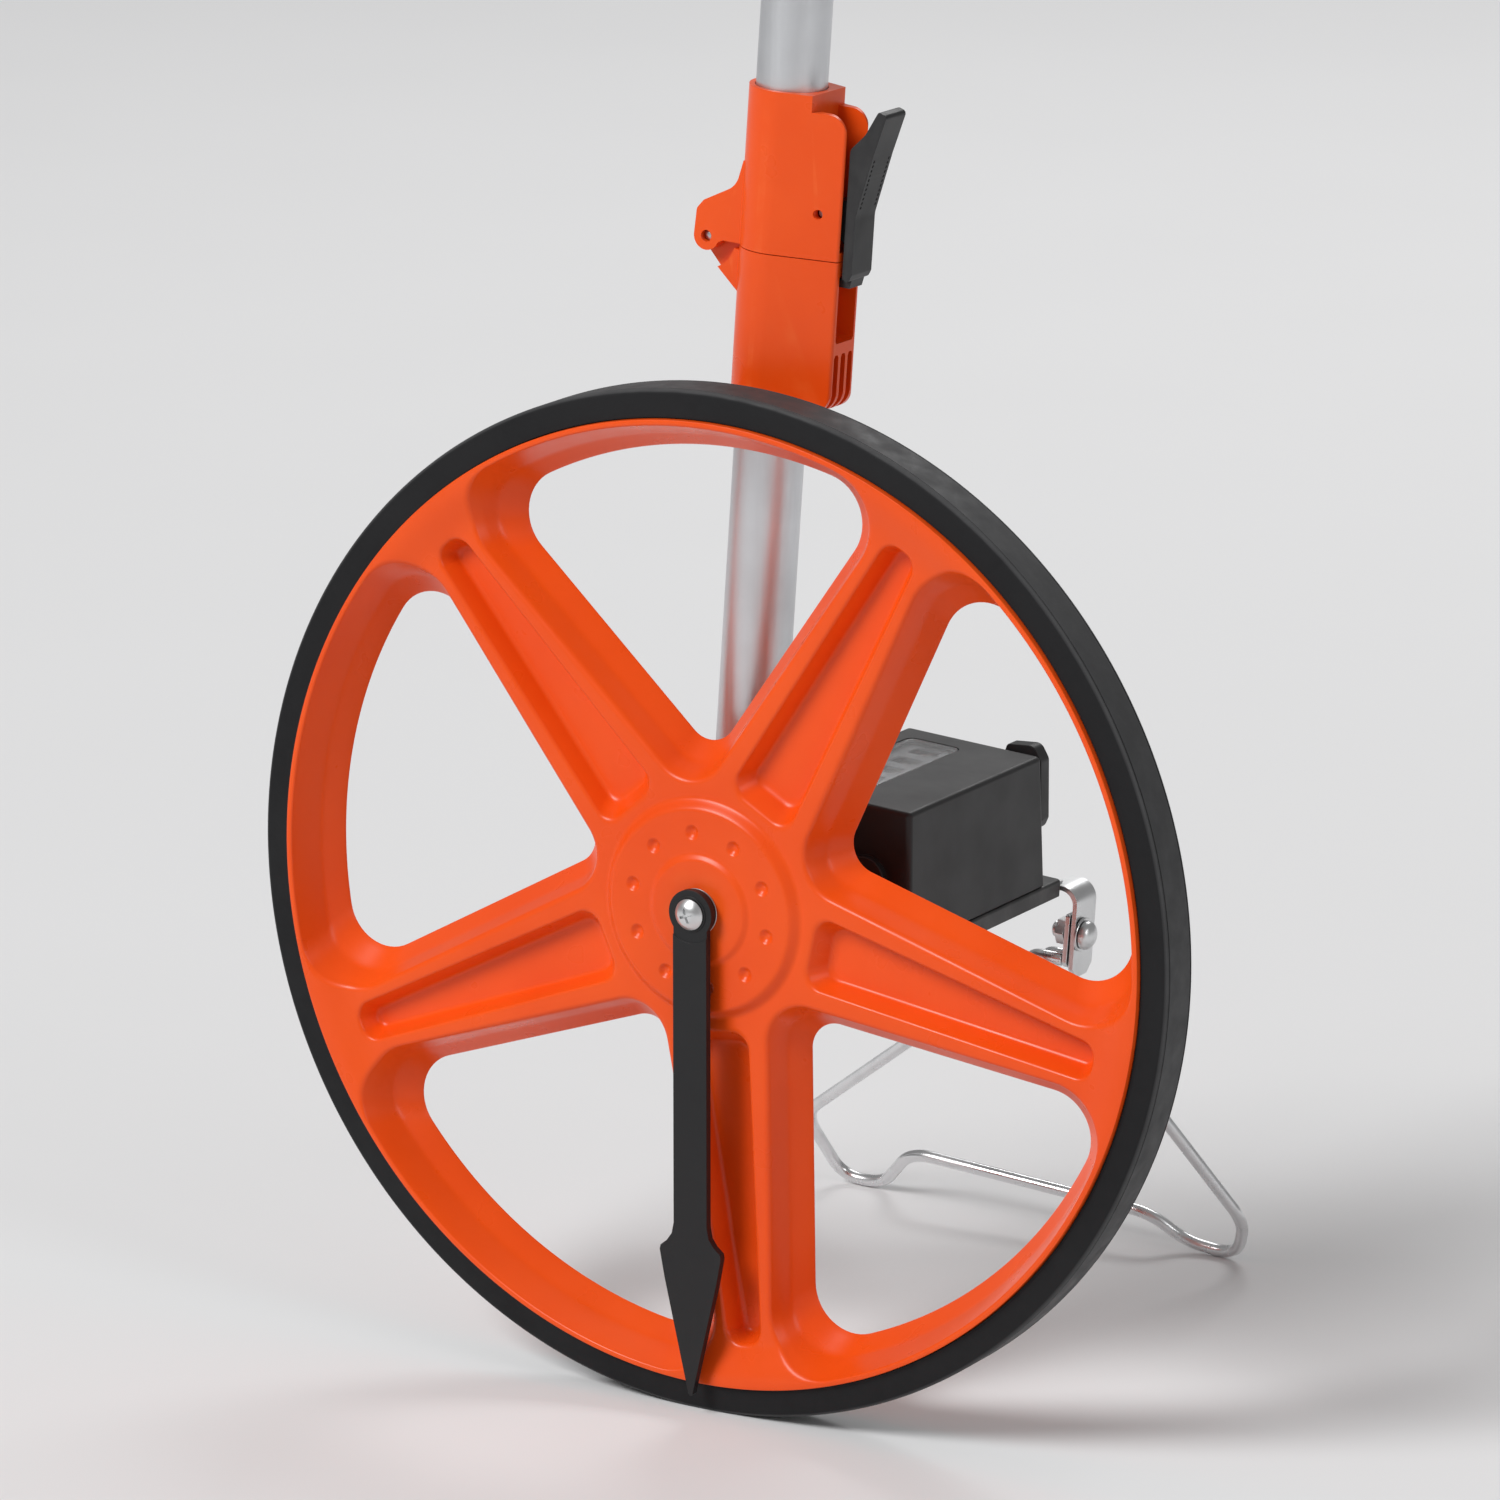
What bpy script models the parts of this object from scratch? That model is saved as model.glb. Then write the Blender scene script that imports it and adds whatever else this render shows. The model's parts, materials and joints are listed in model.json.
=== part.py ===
"""Measuring wheel with a folding pole, a five-digit counter and a swing-out wire stand.

Lengths are in millimetres until a piece is emitted; every object is in metres, +Z up.
Two drawing frames are used, both centred on the wheel axle:
  wheel frame: x along the direction of travel, y along the axle (pole side positive), z up
  pole frame:  the same, leaned forward about the axle by LEAN_DEG (u, y, w)
Pole fittings are drawn in the tube frame, which is the pole frame moved to the tube axis.
"""
import math

import bmesh
import bpy
from mathutils import Matrix, Vector

MM = 0.001

# --- whole object -----------------------------------------------------------------------------
WHEEL_TRAVEL = 1000.0                          # one turn rolls one metre
TYRE_R = WHEEL_TRAVEL / (2.0 * math.pi)
LEAN_DEG = 4.0
DEPTH_MID = 99.14                              # middle of the footprint, measured from the tread
WHEEL_FRAME = Matrix.Translation(Vector((0.0, -DEPTH_MID, TYRE_R)) * MM)
POLE_FRAME = WHEEL_FRAME @ Matrix.Rotation(math.radians(LEAN_DEG), 4, "Y")
TUBE_U = -9.5
TUBE_Y = 31.5
TUBE_FRAME = POLE_FRAME @ Matrix.Translation(Vector((TUBE_U, TUBE_Y, 0.0)) * MM)
GAP = 0.3

# --- wheel ------------------------------------------------------------------------------------
WHEEL_SEGMENTS = 60
RIM_R = 150.2
RIM_FRONT = -10.0
RIM_BACK = 8.0
SPOKE_FRONT = -7.0
HUB_FRONT = -9.5
HUB_CENTRE_FRONT = -10.5
TYRE_HALF_WIDTH = 8.25
SPOKE_COUNT = 5
SPOKE_PITCH = 2.0 * math.pi / SPOKE_COUNT
FIRST_SPOKE = math.radians(60.0)
SPOKE_HALF_AT_63 = 24.0                        # half width of a spoke's back edge at r = 63
SPOKE_TAPER = 0.0887                           # loss of half width per millimetre outward
OPENING_OUTER_R = 139.2
OPENING_OUTER_FILLET = 14.0
OPENING_HUB_FILLET = 8.6
OPENING_KINK_Y = 1.0
OPENING_KINK_GROWTH = 5.2
OPENING_FRONT_GROWTH = 9.2
POCKET_NEAR_R = 38.0
POCKET_FAR_R = 137.0
POCKET_NEAR_HALF = 11.6
POCKET_FAR_HALF = 5.9
POCKET_FLOOR_Y = 0.0
POCKET_INSET = 2.8
POCKET_CORNER = 4.6
BACK_POCKET_NEAR_R = 38.0
BACK_POCKET_FAR_R = 133.0
BACK_POCKET_NEAR_HALF = 22.0
BACK_POCKET_FAR_HALF = 14.2
BACK_POCKET_FLOOR_Y = 3.2
BACK_POCKET_INSET = 4.2
BACK_POCKET_CORNER = 6.0
DIMPLE_COUNT = 10
DIMPLE_RING_R = 24.0
DIMPLE_R = 2.3
DIMPLE_DEPTH = 1.2
AXLE_R = 5.0
BUSH_R = 6.6
SPIGOT_R = 8.4
SPIGOT_END = 15.5
SPIGOT_FLAT = 7.6

# --- gear pair that turns the counter ---------------------------------------------------------
GEAR_TEETH = 20
GEAR_PITCH_R = 12.0
GEAR_ADDENDUM = 1.1
GEAR_DEDENDUM = 1.5
GEAR_NEAR = 8.6
GEAR_FAR = 14.6
DRUM_AXIS_U = 17.6
DRUM_AXIS_W = 16.3

# --- pointer ----------------------------------------------------------------------------------
POINTER_FRONT = -15.1
POINTER_BACK = -12.6
POINTER_BOSS_BACK = -11.5
POINTER_BOSS_R = 7.5
POINTER_BAR_HALF = 5.9
POINTER_TIP_R = 152.7

# --- counter ----------------------------------------------------------------------------------
CASE_U = (2.0, 49.9)
CASE_Y = (27.3, 108.4)
CASE_W = (-9.7, 32.3)
CASE_FRONT_DRAFT = 2.9                         # how much further out the foot of the front face is
CASE_END_DRAFT = 3.0
CASE_WALL = 2.0
DRUM_COUNT = 5
DRUM_R = 12.0
DRUM_WIDTH = 9.6
DRUM_PITCH = 11.4
DRUM_FIRST_Y = 41.5
SHAFT_R = 2.1
CARRY_AXIS_U = 33.8
CARRY_TIP_R = 3.6
RESET_AXIS_U = 41.0
RESET_AXIS_W = 14.0

# --- tray and stand ---------------------------------------------------------------------------
TRAY_U = (-22.0, 53.0)
TRAY_Y = (22.0, 122.0)
TRAY_TOP = -10.0
TRAY_SHEET = 1.2
TRAY_DEPTH = 5.4
STAND_AXIS_Y = 126.0
STAND_AXIS_W = -27.8
STAND_SLOPE = math.radians(33.2)
STAND_WIRE_R = 2.0

# --- pole, fold joint and latch (tube frame) --------------------------------------------------
TUBE_R = 10.75
TUBE_WALL = 1.15
SLEEVE_R = 12.7
FOLD_SEAM = 196.55
FOLD_PIN_U = -21.8
FOLD_PIN_W = 197.6
FOLD_PIN_R = 1.5
KNUCKLE_R = 4.3
KNUCKLE_HALF = 3.3
EAR_HALF = 8.0
CHEEK_HALF = 7.0
CHEEK_CLEARANCE_R = 9.7                        # keeps the lower cheeks outside the sweep of the ears
HOUSING_FRONT = 23.5
HOUSING_HALF = 7.0
LATCH_PIN_U = 16.6
LATCH_PIN_W = 210.6
LATCH_PIN_R = 1.15
LEVER_HALF = 5.8
GRIP_HALF = 14.0

# --- looks ------------------------------------------------------------------------------------
ORANGE = ((0.83, 0.12, 0.02), 0.0, 0.35)
BLACK = ((0.02, 0.02, 0.022), 0.0, 0.5)
RUBBER = ((0.025, 0.025, 0.028), 0.0, 0.8)
ALUMINIUM = ((0.75, 0.76, 0.78), 1.0, 0.32)
STEEL = ((0.62, 0.63, 0.65), 1.0, 0.25)
BRONZE = ((0.55, 0.38, 0.18), 1.0, 0.4)
WHITE = ((0.85, 0.85, 0.83), 0.0, 0.45)
RED = ((0.6, 0.03, 0.02), 0.0, 0.45)
SILVER = ((0.6, 0.61, 0.62), 0.6, 0.4)
CLEAR = ((0.8, 0.85, 0.87), 0.0, 0.05)


# --- scene and object helpers -----------------------------------------------------------------
def clear_scene():
    """Remove everything the default file brought in."""
    for obj in list(bpy.data.objects):
        bpy.data.objects.remove(obj, do_unlink=True)


def new_collection(name):
    """Make a collection under the scene's root."""
    collection = bpy.data.collections.new(name)
    bpy.context.scene.collection.children.link(collection)
    return collection


def make_material(name, look):
    """A Principled material from (colour, metallic, roughness)."""
    colour, metallic, roughness = look
    material = bpy.data.materials.new(name)
    material.use_nodes = True
    shader = material.node_tree.nodes["Principled BSDF"]
    shader.inputs["Base Color"].default_value = (*colour, 1.0)
    shader.inputs["Metallic"].default_value = metallic
    shader.inputs["Roughness"].default_value = roughness
    return material


def emit(name, bm, frame, look, pivot=(0.0, 0.0, 0.0), sharp_deg=32.0):
    """Turn a closed bmesh drawn in millimetres in a frame into a part with its origin at pivot."""
    origin = Vector(pivot)
    bmesh.ops.recalc_face_normals(bm, faces=bm.faces)
    bmesh.ops.transform(bm, matrix=Matrix.Scale(MM, 4) @ Matrix.Translation(-origin), verts=bm.verts)
    mesh = bpy.data.meshes.new(name)
    bm.to_mesh(mesh)
    bm.free()
    mesh.materials.append(make_material(name, look))
    mesh.shade_smooth()
    mesh.set_sharp_from_angle(angle=math.radians(sharp_deg))
    obj = bpy.data.objects.new(name, mesh)
    obj.matrix_world = frame @ Matrix.Translation(origin * MM)
    PARTS.objects.link(obj)
    return obj


def tool(part, bm, frame, operation="DIFFERENCE"):
    """Cut a closed bmesh out of a part, or join it on, with a live Boolean modifier."""
    bmesh.ops.recalc_face_normals(bm, faces=bm.faces)
    bmesh.ops.transform(bm, matrix=Matrix.Scale(MM, 4), verts=bm.verts)
    label = f"{part.name}_{operation.lower()}_{len(part.modifiers)}"
    mesh = bpy.data.meshes.new(label)
    bm.to_mesh(mesh)
    bm.free()
    cutter = bpy.data.objects.new(label, mesh)
    cutter.matrix_world = frame
    cutter.hide_render = True
    cutter.display_type = "WIRE"
    CUTTERS.objects.link(cutter)
    boolean = part.modifiers.new(label, "BOOLEAN")
    boolean.operation = operation
    boolean.solver = "EXACT"
    boolean.object = cutter


def join(*solids):
    """Gather separate closed solids that do not touch into one bmesh."""
    result = bmesh.new()
    for solid in solids:
        mesh = bpy.data.meshes.new("join")
        solid.to_mesh(mesh)
        solid.free()
        result.from_mesh(mesh)
        bpy.data.meshes.remove(mesh)
    return result


# --- shape helpers, all in millimetres --------------------------------------------------------
def block(x_span, y_span, z_span, bevel=0.0):
    """Axis-aligned box between the three spans, its edges rounded by bevel."""
    spans = (x_span, y_span, z_span)
    size = [high - low for low, high in spans]
    middle = [(high + low) / 2.0 for low, high in spans]
    bm = bmesh.new()
    matrix = Matrix.Translation(middle) @ Matrix.Diagonal((*size, 1.0))
    bmesh.ops.create_cube(bm, size=1.0, matrix=matrix)
    if bevel > 0.0:
        bmesh.ops.bevel(bm, geom=bm.edges, offset=bevel, segments=2, profile=0.5, affect="EDGES")
    return bm


def lathe(profile, segments, axis="Y", centre=(0.0, 0.0)):
    """Revolve a closed (radius, height) loop about an axis through centre on the other two axes."""
    bm = bmesh.new()
    loop = []
    for radius, height in profile:
        loop.append(bm.verts.new((radius, 0.0, height)))
    for start, end in zip(loop, loop[1:] + loop[:1]):
        bm.edges.new((start, end))
    bmesh.ops.spin(
        bm, geom=bm.verts[:] + bm.edges[:], axis=(0.0, 0.0, 1.0), cent=(0.0, 0.0, 0.0),
        steps=segments, angle=2.0 * math.pi, use_merge=True, use_duplicate=False,
    )
    bmesh.ops.remove_doubles(bm, verts=bm.verts, dist=1e-4)
    turn = {
        "Z": Matrix.Translation((centre[0], centre[1], 0.0)),
        "Y": Matrix.Translation((centre[0], 0.0, centre[1])) @ Matrix.Rotation(-math.pi / 2.0, 4, "X"),
        "X": Matrix.Translation((0.0, centre[0], centre[1])) @ Matrix.Rotation(math.pi / 2.0, 4, "Y"),
    }
    bmesh.ops.transform(bm, matrix=turn[axis], verts=bm.verts)
    return bm


def rod(radius, span, segments, axis="Y", centre=(0.0, 0.0)):
    """Solid cylinder between two heights of an axis."""
    low, high = span
    profile = [(0.0, low), (radius, low), (radius, high), (0.0, high)]
    return lathe(profile, segments, axis, centre)


def ring(inner, outer, span, segments, axis="Y", centre=(0.0, 0.0)):
    """Plain bush between two heights of an axis."""
    low, high = span
    profile = [(inner, low), (outer, low), (outer, high), (inner, high)]
    return lathe(profile, segments, axis, centre)


def prism(outline, span, normal="Y"):
    """Extrude a closed outline along a normal; the outline is given on the other two axes in order."""
    low, high = span
    bm = bmesh.new()
    place = {
        "X": lambda a, b, depth: (depth, a, b),
        "Y": lambda a, b, depth: (a, depth, b),
        "Z": lambda a, b, depth: (a, b, depth),
    }[normal]
    face = bm.faces.new([bm.verts.new(place(a, b, low)) for a, b in outline])
    grown = bmesh.ops.extrude_face_region(bm, geom=[face])
    lifted = [item for item in grown["geom"] if isinstance(item, bmesh.types.BMVert)]
    bmesh.ops.translate(bm, verts=lifted, vec=Vector(place(0.0, 0.0, high - low)))
    return bm


def loft(rings):
    """Closed solid through a list of vertex rings of equal length, capped at both ends."""
    bm = bmesh.new()
    layers = [[bm.verts.new(point) for point in one] for one in rings]
    for lower, upper in zip(layers, layers[1:]):
        count = len(lower)
        for index in range(count):
            following = (index + 1) % count
            bm.faces.new((lower[index], lower[following], upper[following], upper[index]))
    bm.faces.new(layers[0])
    bm.faces.new(layers[-1])
    return bm


def arc(centre, radius, start, end, steps):
    """Points on a circular arc, both ends included."""
    points = []
    for index in range(steps + 1):
        angle = start + (end - start) * index / steps
        points.append((centre[0] + radius * math.cos(angle), centre[1] + radius * math.sin(angle)))
    return points


def rounded(corners, radii, steps=4):
    """Closed outline with each corner replaced by a fillet of its own radius."""
    count = len(corners)
    outline = []
    for index, radius in enumerate(radii):
        corner = Vector(corners[index])
        back = (Vector(corners[index - 1]) - corner).normalized()
        ahead = (Vector(corners[(index + 1) % count]) - corner).normalized()
        if radius <= 0.0:
            outline.append(tuple(corner))
            continue
        half = back.angle(ahead) / 2.0
        centre = corner + (back + ahead).normalized() * (radius / math.sin(half))
        first = corner + back * (radius / math.tan(half)) - centre
        last = corner + ahead * (radius / math.tan(half)) - centre
        sweep = first.angle_signed(last)
        for step in range(steps + 1):
            turn = Matrix.Rotation(-sweep * step / steps, 2)
            outline.append(tuple(centre + turn @ first))
    return outline


def rotated(outline, angle):
    """Turn a flat outline about the origin."""
    cos_a = math.cos(angle)
    sin_a = math.sin(angle)
    return [(a * cos_a - b * sin_a, a * sin_a + b * cos_a) for a, b in outline]


def at_depth(outline, y):
    """Stand a flat (x, z) outline up at a depth along the axle."""
    return [(x, y, z) for x, z in outline]


def bent_path(points, radius, steps=4):
    """Open 3-D path with every inner corner rounded to a bend radius."""
    path = [Vector(points[0])]
    for before, corner, after in zip(points, points[1:], points[2:]):
        corner = Vector(corner)
        back = Vector(before) - corner
        ahead = Vector(after) - corner
        half = back.angle(ahead) / 2.0
        reach = min(radius / math.tan(half), 0.48 * back.length, 0.48 * ahead.length)
        first = corner + back.normalized() * reach
        last = corner + ahead.normalized() * reach
        for step in range(steps + 1):
            t = step / steps
            path.append(first * (1.0 - t) ** 2 + corner * (2.0 * t * (1.0 - t)) + last * t ** 2)
    path.append(Vector(points[-1]))
    return path


def wire(path, radius):
    """Round wire along a path, with filled ends, as a closed bmesh."""
    curve = bpy.data.curves.new("wire", "CURVE")
    curve.dimensions = "3D"
    curve.bevel_depth = radius
    curve.bevel_resolution = 2
    curve.use_fill_caps = True
    spline = curve.splines.new("POLY")
    spline.points.add(len(path) - 1)
    for point, position in zip(spline.points, path):
        point.co = (*position, 1.0)
    carrier = bpy.data.objects.new("wire", curve)
    CUTTERS.objects.link(carrier)
    depsgraph = bpy.context.evaluated_depsgraph_get()
    mesh = bpy.data.meshes.new_from_object(carrier.evaluated_get(depsgraph))
    bm = bmesh.new()
    bm.from_mesh(mesh)
    bmesh.ops.remove_doubles(bm, verts=bm.verts, dist=1e-4)
    bpy.data.objects.remove(carrier, do_unlink=True)
    bpy.data.meshes.remove(mesh)
    return bm


# --- wheel ------------------------------------------------------------------------------------
def opening_outline(growth):
    """Outline of the gap between the spokes at -36 and +36 degrees, grown outward by growth."""
    half = SPOKE_PITCH / 2.0
    lean = math.atan(SPOKE_TAPER)
    outer_r = OPENING_OUTER_R + growth
    edge_at_zero = SPOKE_HALF_AT_63 + SPOKE_TAPER * 63.0 - growth / math.cos(lean)
    edge_angle = half + lean
    corner_r = edge_at_zero / (math.sin(half) + SPOKE_TAPER * math.cos(half))
    corner = Vector((corner_r, 0.0))
    along = Vector((math.cos(edge_angle), math.sin(edge_angle)))
    inward = Vector((math.sin(edge_angle), -math.cos(edge_angle)))
    hub_fillet = OPENING_HUB_FILLET + 0.6 * growth
    outer_fillet = OPENING_OUTER_FILLET + 0.4 * growth
    hub_centre = (corner_r + hub_fillet / math.sin(edge_angle), 0.0)
    base = corner + inward * outer_fillet
    distance = outer_r - outer_fillet
    reach = -base.dot(along) + math.sqrt(base.dot(along) ** 2 - base.length_squared + distance ** 2)
    outer_centre = base + along * reach
    outer_angle = math.atan2(outer_centre.y, outer_centre.x)
    upper = arc(outer_centre, outer_fillet, outer_angle, edge_angle + math.pi / 2.0, 4)
    hub = arc(hub_centre, hub_fillet, edge_angle + math.pi / 2.0, 1.5 * math.pi - edge_angle, 6)
    lower = [(x, -z) for x, z in reversed(upper)]
    rim = arc((0.0, 0.0), outer_r, -outer_angle, outer_angle, 6)[1:-1]
    return upper + hub + lower + rim


def wheel_openings():
    """The five drafted gaps between the spokes."""
    levels = (
        (RIM_FRONT - 1.0, OPENING_FRONT_GROWTH + 0.36),
        (OPENING_KINK_Y, OPENING_KINK_GROWTH),
        (RIM_BACK, 0.0),
        (RIM_BACK + 1.0, 0.0),
    )
    gaps = []
    for index in range(SPOKE_COUNT):
        angle = FIRST_SPOKE + (index + 0.5) * SPOKE_PITCH
        gaps.append(loft([at_depth(rotated(opening_outline(g), angle), y) for y, g in levels]))
    return join(*gaps)


def pocket_outline(near_r, far_r, near_half, far_half, corner, inset):
    """Tapered pocket along +x, shrunk all round by inset."""
    near = near_r + inset
    far = far_r - inset
    near_half -= inset
    far_half -= inset
    corners = [(near, near_half), (far, far_half), (far, -far_half), (near, -near_half)]
    near_corner = corner - 0.4 * inset
    far_corner = min(corner, 0.9 * far_half)
    return rounded(corners, (near_corner, far_corner, far_corner, near_corner), 3)


def wheel_pockets():
    """Front pocket along each spoke."""
    pockets = []
    for index in range(SPOKE_COUNT):
        angle = FIRST_SPOKE + index * SPOKE_PITCH
        rings = []
        depth = POCKET_FLOOR_Y - SPOKE_FRONT
        for y in (RIM_FRONT - 1.5, POCKET_FLOOR_Y):
            inset = POCKET_INSET * (y - SPOKE_FRONT) / depth
            shape = pocket_outline(POCKET_NEAR_R, POCKET_FAR_R, POCKET_NEAR_HALF, POCKET_FAR_HALF,
                                   POCKET_CORNER, inset)
            rings.append(at_depth(rotated(shape, angle), y))
        pockets.append(loft(rings))
    return join(*pockets)


def wheel_back_pockets():
    """Moulding relief behind each spoke."""
    pockets = []
    for index in range(SPOKE_COUNT):
        angle = FIRST_SPOKE + index * SPOKE_PITCH
        rings = []
        for y, inset in ((BACK_POCKET_FLOOR_Y, BACK_POCKET_INSET), (RIM_BACK, 0.0), (RIM_BACK + 1.0, 0.0)):
            shape = pocket_outline(BACK_POCKET_NEAR_R, BACK_POCKET_FAR_R, BACK_POCKET_NEAR_HALF,
                                   BACK_POCKET_FAR_HALF, BACK_POCKET_CORNER, inset)
            rings.append(at_depth(rotated(shape, angle), y))
        pockets.append(loft(rings))
    return join(*pockets)


def wheel_dimples():
    """Ten round dimples on the hub face."""
    balls = []
    for index in range(DIMPLE_COUNT):
        angle = FIRST_SPOKE + index * 2.0 * math.pi / DIMPLE_COUNT
        centre = (
            DIMPLE_RING_R * math.cos(angle),
            HUB_FRONT - (DIMPLE_R - DIMPLE_DEPTH),
            DIMPLE_RING_R * math.sin(angle),
        )
        ball = bmesh.new()
        bmesh.ops.create_uvsphere(ball, u_segments=10, v_segments=5, radius=DIMPLE_R,
                                  matrix=Matrix.Translation(centre) @ Matrix.Rotation(math.pi / 2, 4, "X"))
        balls.append(ball)
    return join(*balls)


def build_wheel():
    """Moulded wheel with its hub, spokes and rim."""
    profile = [
        (AXLE_R + 0.4, HUB_CENTRE_FRONT),
        (15.7, HUB_CENTRE_FRONT),
        (17.6, HUB_FRONT),
        (31.2, HUB_FRONT),
        (34.2, SPOKE_FRONT),
        (136.0, SPOKE_FRONT),
        (144.0, RIM_FRONT + 1.2),
        (148.2, RIM_FRONT),
        (RIM_R - 0.6, RIM_FRONT),
        (RIM_R, RIM_FRONT + 0.6),
        (RIM_R, -2.8),
        (RIM_R - 2.4, -2.8),
        (RIM_R - 2.4, 2.8),
        (RIM_R, 2.8),
        (RIM_R, RIM_BACK),
        (31.5, RIM_BACK),
        (30.0, -6.0),
        (11.5, -6.0),
        (11.5, RIM_BACK),
        (SPIGOT_R, RIM_BACK),
        (SPIGOT_R, SPIGOT_END),
        (BUSH_R + GAP, SPIGOT_END),
        (BUSH_R + GAP, -5.5),
        (AXLE_R + 0.4, -5.5),
    ]
    rim = emit("wheel_rim", lathe(profile, WHEEL_SEGMENTS), WHEEL_FRAME, ORANGE)
    cuts = (wheel_openings(), wheel_pockets(), wheel_back_pockets(), wheel_dimples(), spigot_flats(SPIGOT_FLAT))
    tool(rim, join(*cuts), WHEEL_FRAME)


def spigot_flats(flat):
    """Two blocks that leave a pair of flats on the rear spigot."""
    depth = (RIM_BACK + 0.2, SPIGOT_END + 1.0)
    reach = SPIGOT_R + 1.0
    right = block((flat, reach), depth, (-reach, reach))
    left = block((-reach, -flat), depth, (-reach, reach))
    return join(right, left)


def build_tyre():
    """Rubber tread band keyed into the groove of the rim."""
    inner = RIM_R + GAP
    half = TYRE_HALF_WIDTH
    profile = [
        (inner, -half),
        (TYRE_R - 0.9, -half),
        (TYRE_R, -half + 0.9),
        (TYRE_R, half - 0.9),
        (TYRE_R - 0.9, half),
        (inner, half),
        (inner, 2.5),
        (RIM_R - 2.1, 2.5),
        (RIM_R - 2.1, -2.5),
        (inner, -2.5),
    ]
    emit("tyre", lathe(profile, WHEEL_SEGMENTS), WHEEL_FRAME, RUBBER)


def build_bush():
    """Plain bronze bush pressed into the hub."""
    emit("hub_bush", ring(AXLE_R + GAP, BUSH_R, (-5.2, 15.2), 24), WHEEL_FRAME, BRONZE)


def gear_outline(teeth, pitch_r, tip_r, root_r, thinning, phase):
    """Straight-flanked gear outline; thinning narrows each tooth for running clearance."""
    outline = []
    pitch = 2.0 * math.pi / teeth
    half_pitch_line = math.pi * pitch_r / (2.0 * teeth) - thinning
    slant = math.tan(math.radians(20.0))
    for index in range(teeth):
        centre = phase + index * pitch
        for side, radius in ((-1, root_r), (-1, pitch_r), (-1, tip_r), (1, tip_r), (1, pitch_r), (1, root_r)):
            half = half_pitch_line + (pitch_r - radius) * slant
            angle = centre + side * half / radius
            outline.append((radius * math.cos(angle), radius * math.sin(angle)))
    return outline


def gear_blank(phase):
    """One of the two equal gears, centred on its own axis."""
    shape = gear_outline(GEAR_TEETH, GEAR_PITCH_R, GEAR_PITCH_R + GEAR_ADDENDUM,
                         GEAR_PITCH_R - GEAR_DEDENDUM, 0.22, phase)
    return prism(shape, (GEAR_NEAR, GEAR_FAR))


def build_drive_gear():
    """Gear pushed onto the flats of the wheel's rear spigot."""
    mesh_angle = math.atan2(DRUM_AXIS_W, DRUM_AXIS_U)
    gear = emit("drive_gear", gear_blank(mesh_angle - math.radians(LEAN_DEG)), WHEEL_FRAME, WHITE)
    bore_r = SPIGOT_R + GAP
    bore = arc((0.0, 0.0), bore_r, 0.0, 2.0 * math.pi, 24)[:-1]
    flat = SPIGOT_FLAT + GAP
    shape = [(max(-flat, min(flat, x)), z) for x, z in bore]
    tool(gear, prism(shape, (GEAR_NEAR - 1.0, GEAR_FAR + 1.0)), WHEEL_FRAME)


# --- axle and pointer -------------------------------------------------------------------------
def build_axle():
    """Fixed steel axle, tapped at the front for the pointer screw."""
    profile = [
        (2.3, -10.5),
        (AXLE_R - 0.5, -10.5),
        (AXLE_R, -10.0),
        (AXLE_R, 26.0),
        (0.0, 26.0),
        (0.0, -1.0),
        (2.3, -1.0),
    ]
    emit("axle", lathe(profile, 24), POLE_FRAME, STEEL)


def build_pointer():
    """Flat pointer that hangs from the axle by its own weight."""
    bar = POINTER_BAR_HALF
    right_side = [(bar, -98.0), (6.6, -101.5), (8.4, -104.0), (10.6, -105.8), (10.9, -107.2), (9.2, -116.0)]
    tip = [(0.7, -POINTER_TIP_R + 0.6), (0.0, -POINTER_TIP_R)]
    head_start = -math.acos(bar / POINTER_BOSS_R)
    head = arc((0.0, 0.0), POINTER_BOSS_R, math.pi - head_start, head_start, 16)
    left_side = [(-x, z) for x, z in right_side]
    outline = head + right_side + tip + [(-0.7, -POINTER_TIP_R + 0.6)] + left_side[::-1]
    blade = prism(outline, (POINTER_FRONT, POINTER_BACK))
    pointer = emit("pointer", blade, WHEEL_FRAME, BLACK)
    boss = rod(POINTER_BOSS_R - 0.4, (POINTER_BACK - 0.8, POINTER_BOSS_BACK), 24)
    tool(pointer, boss, WHEEL_FRAME, "UNION")
    tool(pointer, rod(3.3, (POINTER_FRONT - 1.0, POINTER_BOSS_BACK + 1.0), 20), WHEEL_FRAME)


def build_pointer_screw():
    """Cross-head shoulder screw that carries the pointer, and its washer."""
    profile = [
        (0.0, -17.4),
        (2.4, -17.2),
        (4.2, -16.5),
        (4.8, -15.6),
        (4.8, -15.4),
        (3.0, -15.4),
        (3.0, -11.4),
        (2.0, -11.4),
        (2.0, -2.0),
        (0.0, -2.0),
    ]
    screw = emit("pointer_screw", lathe(profile, 24), WHEEL_FRAME, STEEL)
    wide = block((-2.2, 2.2), (-18.5, -16.2), (-0.45, 0.45))
    tall = block((-0.45, 0.45), (-18.4, -16.3), (-2.2, 2.2))
    tool(screw, wide, WHEEL_FRAME)
    tool(screw, tall, WHEEL_FRAME)
    emit("pointer_washer", ring(2.3, 7.2, (-11.2, -10.8), 20), WHEEL_FRAME, STEEL)


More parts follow.
